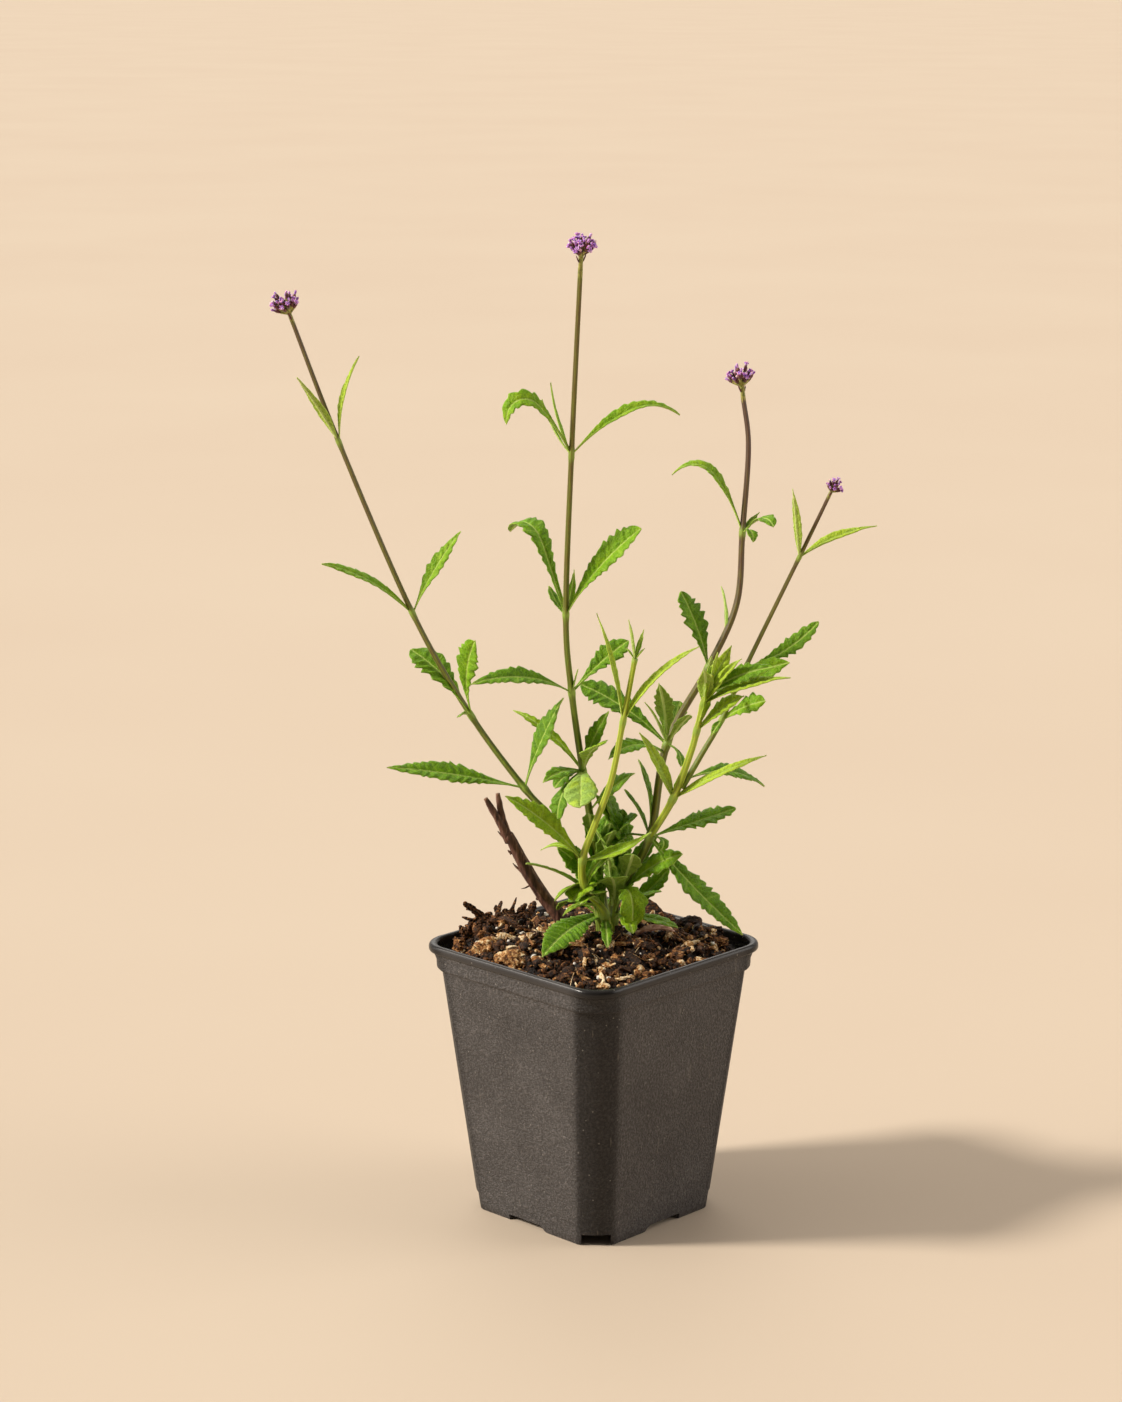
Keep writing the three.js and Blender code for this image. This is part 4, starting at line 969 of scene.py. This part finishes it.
def make_rotted_wood():
    """A tangle of dark half-rotted shreds that stands out of the mix, fluted, knobbed and pointed."""
    rng = random.Random(71)

    def grow(bm, layer, shred):
        foot, top, width, bluntness = shred
        foot, top = PLANT_TURNED @ Vector(foot), PLANT_TURNED @ Vector(top)
        bow = Vector((rng.uniform(-0.8, 0.8), rng.uniform(-0.8, 0.8), 0.2))
        line = [foot, foot.lerp(top, 0.4) + bow, foot.lerp(top, 0.75) + 0.6 * bow, top]
        seed = random_vector(rng)

        def radius(share, angle):
            around = Vector((5 * share, math.cos(angle), math.sin(angle)))
            rough = noise.noise(around * 1.6 + seed) + 0.5 * noise.noise(around * 4 + seed)
            fluted = noise.noise(Vector((0.6 * share, 3 * math.cos(angle), 3 * math.sin(angle))) + seed)
            return width * (1 - share) ** bluntness * (1 + 0.6 * rough + 0.7 * fluted) + 0.12

        for vertex in tube(bm, line, 18, 26, radius):
            vertex[layer] = 0.32 + 0.5 * noise.noise(vertex.co * 1.5) + 0.25 * noise.noise(vertex.co * 4)

    piece("rotted_wood_shreds", scatter(ROTTED_SHREDS, grow), POT_FRAME, [MULCH], "bark", sharp=50)


def make_dead_leaf():
    """A shrivelled pinkish leaf lying by the crown, curled along its length."""
    bm = bmesh.new()
    tone = bm.verts.layers.float.new("tone")
    start, way, across = Vector((15, -4, 0)), Vector((14, 3, 0)), Vector((-0.5, 2.2, 0))
    for vertex in bmesh.ops.create_grid(bm, x_segments=24, y_segments=8, size=1)["verts"]:
        share, side = (vertex.co.x + 1) / 2, vertex.co.y
        half = math.sin(math.pi * min(1, share * 0.9 + 0.1)) ** 0.7 + 0.06
        flat = PLANT_TURNED @ (start + way * share + across * side * half)
        vertex.co = Vector((flat.x, flat.y, 0))
        cup = 1.3 * side**2 * half + 1.2 * math.sin(math.pi * share) + 0.3 * noise.noise(vertex.co * 0.9)
        vertex.co.z = ground(flat.x, flat.y) * 0.3 + CROWN_HEIGHT * 0.7 + 1.2 + cup
        vertex[tone] = 0.5 + 0.4 * noise.noise(vertex.co * 0.8)
    bmesh.ops.recalc_face_normals(bm, faces=bm.faces)
    made = piece("dead_leaf", bm, POT_FRAME, [DEAD_LEAF], "leaf")
    blade = made.modifiers.new("blade_thickness", "SOLIDIFY")
    blade.thickness = 0.3 * MM


def make_fibres():
    """Coir and root fibres, fine curved hairs on and out of the mix."""
    rng = random.Random(31)

    def grow(bm, layer, _):
        x, y = somewhere(rng, 0.84)
        length = mix(1.5, 9, rng.random() ** 1.6)
        way = rng.uniform(0, 2 * math.pi)
        bend = rng.uniform(-1.6, 1.6)
        points = []
        for _ in range(4):
            points.append(on_ground(x, y, rng.uniform(0.3, 1.6)))
            x += length / 3 * math.cos(way)
            y += length / 3 * math.sin(way)
            way += bend / 3
        thick = rng.uniform(0.1, 0.26)
        tone = rng.uniform(0.2, 1.0)
        for vertex in tube(bm, points, 4, 9, lambda share, angle: thick):
            vertex[layer] = tone

    piece("coir_fibres", scatter(range(260), grow), POT_FRAME, [MULCH], "potting_mix")


def make_perlite():
    """White grains of perlite, scattered among the crumbs."""
    rng = random.Random(47)

    def grow(bm, layer, _):
        x, y = somewhere(rng, 0.93)
        size = rng.uniform(0.4, 1.15)
        half_sizes = (size * rng.uniform(0.9, 1.4), size, size * rng.uniform(0.7, 1))
        place = on_ground(x, y, rng.uniform(0.2, 0.9))
        lump(bm, layer, 1, place, half_sizes, random_turn(rng, 0.6), 0.35, rng, 2)

    piece("perlite_grains", scatter(range(95), grow), POT_FRAME, [PERLITE], "potting_mix")


# ---- Stems and cane ----

# Radius of the square stem from a rib to the next, over its own: rib, flank, flank, groove, flank, flank
RIB_PROFILE = (1.1, 0.99, 0.92, 0.82, 0.92, 0.99)
RIB_SIDES = 4 * len(RIB_PROFILE)
RING_PITCH = 1.1  # length of a stem to each ring of vertices


def small_leaves(stem):
    """The rows of a stem's small leaves, with the columns that LEAVES has."""
    return [(stem, *row, SMALL_FOLD)[:10] for row in SMALL_LEAVES[stem]]


def rib_at(angle):
    """The rib profile at an angle round the stem, which a tube draws with RIB_SIDES sides."""
    return RIB_PROFILE[round((angle / math.pi + 1) / 2 * RIB_SIDES) % len(RIB_PROFILE)]


def make_stem(name):
    """A square stem with a rib on each corner, swollen at its joints, greener towards its end."""
    base_radius, top_radius, greens, points = STEMS[name]
    route = vectors(points)
    last = len(route) - 1
    length = sum((b - a).length for a, b in zip(route, route[1:]))
    rows = [row for row in LEAVES.values() if row[0] == name] + small_leaves(name)
    joints = sorted({row[1] for row in rows if row[1] == int(row[1]) and row[4] > 2})
    places = [point_on(route, j) for j in joints]

    def nearness(share, width):
        here = point_on(route, share * last)
        return max((math.exp(-(((here - p).length / width) ** 2)) for p in places), default=0)

    def radius(share, angle):
        swollen = nearness(share, 2.0)
        return mix(base_radius, top_radius, share) * (mix(rib_at(angle), 1, 0.6 * swollen) + 0.34 * swollen)

    bm = bmesh.new()
    add_layer = bm.verts.layers.float.new
    green_layer, groove_layer, knot_layer = (add_layer(layer) for layer in ("green", "groove", "knot"))
    for vertex, (share, angle) in tube(bm, route, RIB_SIDES, round(length / RING_PITCH), radius).items():
        if share < 0.5:
            green = mix(greens[0], greens[1], 2 * share)
        else:
            green = mix(greens[1], greens[2], 2 * share - 1)
        neck = smoothstep(share * length, length - 3, length - 0.5)
        vertex[green_layer] = mix(green, max(0.5, greens[2]), neck)
        vertex[groove_layer] = (RIB_PROFILE[0] - rib_at(angle)) / (RIB_PROFILE[0] - min(RIB_PROFILE))
        vertex[knot_layer] = 0.9 * nearness(share, 1.5)
    slot = "shoot" if name.startswith("side_shoot") else "stem"
    piece(name + "_rind", bm, PLANT_FRAME, [STEM_RIND], slot, name)


def make_cane():
    """The cut-back cane: dead, split bark, a broken forked top and the stubs of old thorny joints."""
    rng = random.Random(5)
    bm = bmesh.new()
    tone = bm.verts.layers.float.new("tone")

    def bark(start, end, seed, tear):
        """The radius of a bar of bark, rounded off at its end, or torn there where tear is over 0."""

        def radius(share, angle):
            around = Vector((1.6 * math.cos(angle), 1.6 * math.sin(angle), 0))
            ridge = noise.noise(around * 2.2 + Vector((0, 0, 2 * share + seed)))
            knotty = noise.noise(around * 0.6 + Vector((0, 0, 7 * share + seed)))
            torn = 1 - tear * smoothstep(share, 0.8, 1) * (0.6 + 0.4 * math.sin(angle * 2 + seed))
            closed = 1 - 0.5 * smoothstep(share, 0.95, 1) * (tear == 0)
            return mix(start, end, share) * (1 + 0.2 * ridge + 0.16 * knotty) * torn * closed

        return radius

    for vertex, (share, _) in tube(bm, vectors(CANE), 28, 80, bark(2.7, 1.9, 1.0, 0)).items():
        vertex[tone] = 0.1 * smoothstep(share, 0.85, 1)
    for i, prong in enumerate(CANE_PRONGS):
        for vertex, (share, _) in tube(bm, vectors(prong), 18, 36, bark(1.5, 0.95, 4.0 + i, 0.2)).items():
            vertex[tone] = 0.6 * smoothstep(share, 0.93, 1)
    for foot, tip, size in CANE_THORNS:
        foot, tip = Vector(foot), Vector(tip)
        points = [foot - 0.4 * (tip - foot), foot, foot.lerp(tip, 0.5) - Vector((0, 0, 0.25)), tip]
        seed = rng.uniform(0, 50)

        def radius(share, angle):
            rough = noise.noise(Vector((seed, 3 * share, angle)))
            return (size * (1 - share) ** 0.8 + 0.1) * (1 + 0.3 * rough)

        for vertex in tube(bm, points, 8, 8, radius):
            vertex[tone] = 0.1
    piece("dead_cane", bm, PLANT_FRAME, [CANE_BARK], "cane_wood", "cut_cane")


# ---- Leaves ----

LEAF_STALK = 0.14  # width at the base, as a share of the widest
LEAF_THICKNESS = 0.32
BLADE_ROWS = 14  # from margin to margin
TOOTH_STEPS = 8  # columns of the blade to each tooth
STALK_STEPS = 8
TOOTH_TIP = 0.75  # where in its pitch a tooth's tip stands, and a side vein ends
TEETH_START = 0.2  # share of the length
CURL_START = 0.5  # share of the length


def leaf_outline(form, share):
    """Half width at a share of the length, over the widest."""
    widest, base_fullness, tip_fullness = FORMS[form][:3]
    if share < widest:
        return mix(LEAF_STALK, 1, math.sin(math.pi / 2 * share / widest) ** (2 * base_fullness))
    return max(math.cos(math.pi / 2 * (share - widest) / (1 - widest)), 0) ** tip_fullness


def midrib(row, twist, steps=96):
    """Frames along a leaf's midrib from its joint to its tip: place, side and upper face."""
    stem, joint, tip, arch, _, roll, curl = row[:7]
    route = vectors(STEMS[stem][3])
    reach = Vector(tip)
    chord = reach.normalized()
    tangent = heading_on(route, joint)
    upper = (tangent - tangent.dot(chord) * chord).normalized()
    side = chord.cross(upper)
    place = point_on(route, joint)
    heading = (reach + 4 * arch * upper).normalized()
    frames = []
    for i in range(steps + 1):
        rolled = math.radians(roll + twist * i / steps)
        across = Matrix.Rotation(rolled, 3, heading) @ side
        across = (across - across.dot(heading) * heading).normalized()
        frames.append((place.copy(), across, across.cross(heading)))
        along = (i + 0.5) / steps
        bend = -math.radians(curl) * smoothstep(along, CURL_START, 1)
        step = Matrix.Rotation(bend, 3, side) @ (reach + 4 * arch * (1 - 2 * along) * upper) / steps
        place += step
        heading = step.normalized()
    return frames


def add_leaf(bm, layers, row, rng):
    """Adds one leaf blade: a grid drawn out along the midrib, toothed, puckered and folded."""
    width, form, youth, fold = row[4], row[7], row[8], row[9]
    length = Vector(row[2]).length
    depth, pitch = FORMS[form][3:]
    teeth = max(3, round(length * (1 - TEETH_START) / pitch))
    columns = STALK_STEPS + TOOTH_STEPS * teeth
    frames = midrib(row, rng.uniform(-12, 12))
    last = len(frames) - 1
    sizes = [[rng.uniform(0.35, 1.35) for _ in range(teeth + 3)] for _ in range(2)]
    wave = rng.uniform(0, 6.28)
    drift = random_vector(rng)
    shade = youth + rng.uniform(-0.05, 0.05)
    vein_layer, rib_layer, margin_layer, youth_layer = layers
    blade = bmesh.ops.create_grid(bm, x_segments=columns, y_segments=BLADE_ROWS, size=1)["verts"]
    for vertex in blade:
        column = (vertex.co.x + 1) / 2 * columns
        side = -math.copysign(abs(vertex.co.y) ** 1.5, vertex.co.y)
        edge = abs(side)
        phase = max(0, (column - STALK_STEPS) / TOOTH_STEPS)
        share = TEETH_START * column / STALK_STEPS
        if column > STALK_STEPS:
            share = TEETH_START + (1 - TEETH_START) * phase / teeth
        grown = smoothstep(share, TEETH_START, TEETH_START + 0.12) * (1 - 0.5 * smoothstep(share, 0.85, 1))
        lag = 0.5 if side > 0 else 0
        uneven = noise.noise(Vector((0.8 * phase, 3 * lag, 0)) + drift)
        own_phase = phase + lag + 0.6 * (0.5 + uneven) * grown
        part = own_phase % 1
        if part <= TOOTH_TIP:
            tooth = (part / TOOTH_TIP) ** 0.85
        else:
            tooth = 1 - ((part - TOOTH_TIP) / (1 - TOOTH_TIP)) ** 1.3
        size = sizes[side > 0][int(own_phase)]
        smooth_half = leaf_outline(form, share) * width / 2
        half = max(smooth_half * (1 + depth * size * grown * (tooth - 0.45)), 0.12)
        forward = 0.75 * smooth_half * edge * max(1 - share, 0) ** 0.6 * smoothstep(share, 0, 0.3)
        at = min(share + forward / length, 1) * last
        i = min(int(at), last - 1)
        place, across, face = (a.lerp(b, at - i) for a, b in zip(frames[i], frames[i + 1]))
        angle = math.atan(fold) * (1 - 0.35 * share)
        out = half * edge
        ridge = 0.5 + 0.5 * math.cos(2 * math.pi * (part - TOOTH_TIP + 0.5))
        lift = out * math.sin(angle) - 0.1 * half * edge**2
        lift += 0.05 * width * grown * math.sin(math.pi * edge) * ridge
        lift += 0.04 * width * edge**2 * math.sin(wave + 9 * share + 2 * (side > 0))
        lift -= 0.14 * math.exp(-((out / 0.35) ** 2))
        vertex.co = place + math.copysign(out * math.cos(angle), side) * across + lift * face
        # millimetres to the nearest side vein, the midrib and the margin, for the material
        gap = abs((part - TOOTH_TIP + 0.5) % 1 - 0.5) * length * (1 - TEETH_START) / teeth
        vertex[vein_layer] = gap + (1 - grown) * 2
        vertex[rib_layer] = out
        vertex[margin_layer] = half - out
        vertex[youth_layer] = min(1, max(0, shade - 0.12 * grown * edge * (youth < 0.7)))


def make_leaves(name, rows, *nodes):
    """Makes one piece of the leaves in rows, thickened downwards, with the underside's own material."""
    rng = random.Random(name)
    bm = bmesh.new()
    layers = [bm.verts.layers.float.new(layer) for layer in ("vein", "rib", "margin", "youth")]
    for row in rows:
        add_leaf(bm, layers, row, rng)
    made = piece(name, bm, PLANT_FRAME, [LEAF_FACE, LEAF_BACK], "leaf", *nodes)
    blade = made.modifiers.new("blade_thickness", "SOLIDIFY")
    blade.thickness = LEAF_THICKNESS * MM
    blade.offset = -1
    blade.material_offset = 1


# ---- Flower heads ----


def paint(verts, material):
    """Gives a new shape's faces the piece's material of that number."""
    for face in {f for v in verts for f in v.link_faces}:
        face.material_index = material


def add_cone(bm, material, start, way, length, base, top, sides):
    """Adds a small tapered bar from start along way."""
    turn = way.to_track_quat("Z", "Y").to_matrix().to_4x4()
    placing = Matrix.Translation(start + way * length / 2) @ turn
    made = bmesh.ops.create_cone(
        bm, cap_ends=True, segments=sides, radius1=base, radius2=top, depth=length, matrix=placing
    )["verts"]
    paint(made, material)


def add_ball(bm, material, place, sizes, way):
    """Adds a small ball of few faces, stretched to its half sizes, the last of them along way."""
    turn = way.to_track_quat("Z", "Y").to_matrix().to_4x4()
    placing = Matrix.Translation(place) @ turn @ Matrix.Diagonal((*sizes, 1))
    made = bmesh.ops.create_icosphere(bm, subdivisions=1, radius=1, matrix=placing)["verts"]
    paint(made, material)


def make_flower_head(name):
    """A goblet-shaped head: olive branches fan out from the stem's end, and on each stand dark narrow
    calyxes with lilac florets, purple buds and a few round pinkish-white bud ends."""
    stem, neck, radius, height, calyxes, open_florets = FLOWER_HEADS[name]
    rng = random.Random(name)
    bm = bmesh.new()
    up = Vector((0, 0, 1))
    stalk = STEMS[stem][1]
    scale = (radius / 5.6) ** 0.7
    hub = Vector((0, 0, neck))
    add_cone(bm, GREEN, Vector((0, 0, -2.6)), up, 2.6, 0.85 * stalk, 1.13 * stalk, 16)
    add_cone(bm, GREEN, Vector((0, 0, 0)), up, neck / 2, 1.13 * stalk, stalk, 16)
    add_cone(bm, GREEN, Vector((0, 0, neck / 2)), up, neck / 2, stalk, 1.2 * stalk, 16)
    add_ball(bm, GREEN, hub, (stalk * 1.2, stalk * 1.2, stalk * 0.9), up)
    # the last two scale leaves under the head
    for i in range(2):
        way = Vector((math.cos(math.pi * i + 0.3), math.sin(math.pi * i + 0.3), 2.2)).normalized()
        foot = Vector((way.x, way.y, 0)).normalized() * stalk * 0.9 + (neck - 2.4 * scale) * up
        add_ball(bm, MAROON, foot + way * 1.5 * scale, (0.42 * scale, 0.2 * scale, 1.6 * scale), way)
    golden = math.pi * (3 - math.sqrt(5))
    flowering = set(rng.sample(range(calyxes), open_florets))
    for i in range(calyxes):
        # a branch from the hub: the first stand upright and the last lean out and down
        share = (i + 0.5) / calyxes
        lean = 0.08 + 0.97 * share**0.57 + rng.uniform(-0.09, 0.09)
        turn = golden * i + rng.uniform(-0.2, 0.2)
        way = Vector((math.sin(lean) * math.cos(turn), math.sin(lean) * math.sin(turn), math.cos(lean)))
        branch = height * mix(0.42, 0.24, share) * rng.choice((0.6, 0.8, 0.95, 1.08))
        start = hub + way * branch
        long = rng.uniform(2.0, 2.7) * scale
        thick = rng.uniform(0.56, 0.7) * scale
        add_cone(bm, GREEN, hub, way, branch + 0.3 * scale, 0.45 * scale, 0.62 * thick / 0.6, 7)
        # the calyx swells from its foot and narrows to its mouth
        for foot, part, low, high in ((0, 0.3, 0.6, 1), (0.3, 0.4, 1, 1), (0.7, 0.3, 1, 0.62)):
            add_cone(bm, MAROON, start + way * foot * long, way, part * long, low * thick, high * thick, 8)
        tip = start + way * long
        if i in flowering:
            reach = rng.uniform(0.3, 0.9) * scale
            add_cone(bm, LILAC, tip - way * 0.2, way, reach + 0.2, 0.36 * scale, 0.5 * scale, 6)
            mouth = tip + way * reach
            side = way.orthogonal().normalized()
            for petal in range(5):
                out = Matrix.Rotation(2 * math.pi * petal / 5 + i, 3, way) @ side
                lobe = mouth + (out * 0.5 + way * 0.3) * scale
                tilt = (out + rng.uniform(0.3, 1.3) * way).normalized()
                sizes = (0.56 * scale, 0.3 * scale, rng.uniform(0.5, 0.75) * scale)
                add_ball(bm, LILAC, lobe, sizes, tilt)
            add_ball(bm, LILAC, mouth, (0.5 * scale, 0.5 * scale, 0.4 * scale), way)
        else:
            # a bud: short and white, or lilac and still shut
            white = lean > 0.4 and rng.random() < 0.3
            size = (0.56 if white else 0.46) * scale
            reach = 0 if white else rng.uniform(0.2, 1.1) * scale
            add_cone(bm, LILAC, tip - way * 0.2, way, reach + 0.3, 0.8 * size, size, 8)
            end = tip + way * (reach + 0.1)
            add_ball(bm, PINK if white else LILAC, end, (size, size, size * rng.uniform(1.0, 1.5)), way)
    route = vectors(STEMS[stem][3])
    last = len(route) - 1
    turn = heading_on(route, last - 0.02).to_track_quat("Z", "Y").to_matrix().to_4x4()
    placing = PLANT_FRAME @ Matrix.Translation(point_on(route, last)) @ turn
    piece(name + "_florets", bm, placing, FLOWER_MATERIALS, "flower", name, sharp=75)


# ---- Building ----

make_pot()
make_mix()
make_crumbs()
make_clods()
make_shreds()
make_fibres()
make_perlite()
make_bark_pieces()
make_rotted_wood()
make_dead_leaf()
make_cane()
for stem_name in STEMS:
    make_stem(stem_name)
for leaf_name, leaf_row in LEAVES.items():
    make_leaves(leaf_name + "_blade", [leaf_row], leaf_name)
for stem_name in STEMS:
    make_leaves("small_leaves_" + stem_name, small_leaves(stem_name))
for head_name in FLOWER_HEADS:
    make_flower_head(head_name)

# ---- Floor, light and camera ----


def make_floor():
    """A wide pale studio floor of honed limestone, warm beige, with faint clouds."""
    made, tree, place = start_material("pale_studio_floor")
    cloud = add(tree, "TexNoise", {"Vector": place, "Scale": per_mm(400), "Detail": 2})
    shade = add(tree, "ValToRGB", (cloud,), stops=[(0.3, "cdbca8"), (0.7, "cfbfab")])
    plug(made, Base_Color=shade, Roughness=0.9, Specular_IOR_Level=0.1)
    bm = bmesh.new()
    bmesh.ops.create_grid(bm, x_segments=1, y_segments=1, size=60)
    meshed("studio_floor", bm, [made])


def make_light():
    """Soft warm light: a window at the left, fainter ones low at the left, at the right and at the back,
    and a pale room."""
    world = bpy.data.worlds.new("soft_room")
    world.use_nodes = True
    tree = world.node_tree
    background = tree.nodes["Background"]
    background.inputs["Color"].default_value = colour("fbf2e8")
    # the room is darker on the side the usual view is taken from, so that the near corner stays dark
    direction = add(tree, "TexCoord", output="Generated")
    towards_view = PLANT_TURNED @ Vector((0.1, -1, 0))
    front = add(tree, "VectorMath", (direction, towards_view), "Value", operation="DOT_PRODUCT")
    strength = add(tree, "MapRange", (front, 0.0, 0.75, 0.66, 0.06), interpolation_type="SMOOTHSTEP")
    feed(tree, background.inputs["Strength"], strength)
    bpy.context.scene.world = world
    # where each comes from in the plant's frame, strength, how wide it is in degrees, and tint
    for name, toward, strength, width, tint in (
        ("key_window", (-0.97, -0.14, 0.68), 3.6, 9, (1.0, 0.93, 0.84)),
        ("low_window", (-1, -0.02, 0.12), 0.9, 50, (1.0, 0.95, 0.9)),
        ("fill_window", (0.98, -0.03, 0.4), 1.0, 40, (1.0, 0.95, 0.9)),
        ("back_window", (-0.1, 1.0, 0.7), 0.5, 40, (1.0, 0.97, 0.93)),
    ):
        sun = bpy.data.lights.new(name, "SUN")
        sun.energy = strength
        sun.angle = math.radians(width)
        sun.color = tint
        lamp = in_scene(name, sun)
        lamp.rotation_euler = (PLANT_TURNED @ Vector(toward)).to_track_quat("Z", "Y").to_euler()


CAMERA_DISTANCE = 1.13872
CAMERA_HEIGHT = 0.45162
CAMERA_PAN = math.radians(-0.5906)
CAMERA_PITCH = math.radians(13.0241)
SENSOR_WIDTH = 36
FOCAL_SHARE = 3310 / 1402  # focal length over the sensor's width


def make_camera():
    """The camera stands in front of the pot's near corner, a little above the plant."""
    flat = math.cos(CAMERA_PITCH)
    looking = Vector((math.sin(CAMERA_PAN) * flat, math.cos(CAMERA_PAN) * flat, -math.sin(CAMERA_PITCH)))
    data = bpy.data.cameras.new("camera")
    data.sensor_width = SENSOR_WIDTH
    data.lens = FOCAL_SHARE * SENSOR_WIDTH
    data.clip_end = 200
    camera = in_scene("camera", data)
    camera.location = POT_AXIS + PLANT_TURNED @ Vector((0, -CAMERA_DISTANCE, CAMERA_HEIGHT))
    camera.rotation_euler = (PLANT_TURNED @ looking).to_track_quat("-Z", "Y").to_euler()
    bpy.context.scene.camera = camera


make_floor()
make_light()
make_camera()
bpy.context.scene.view_settings.view_transform = "Standard"
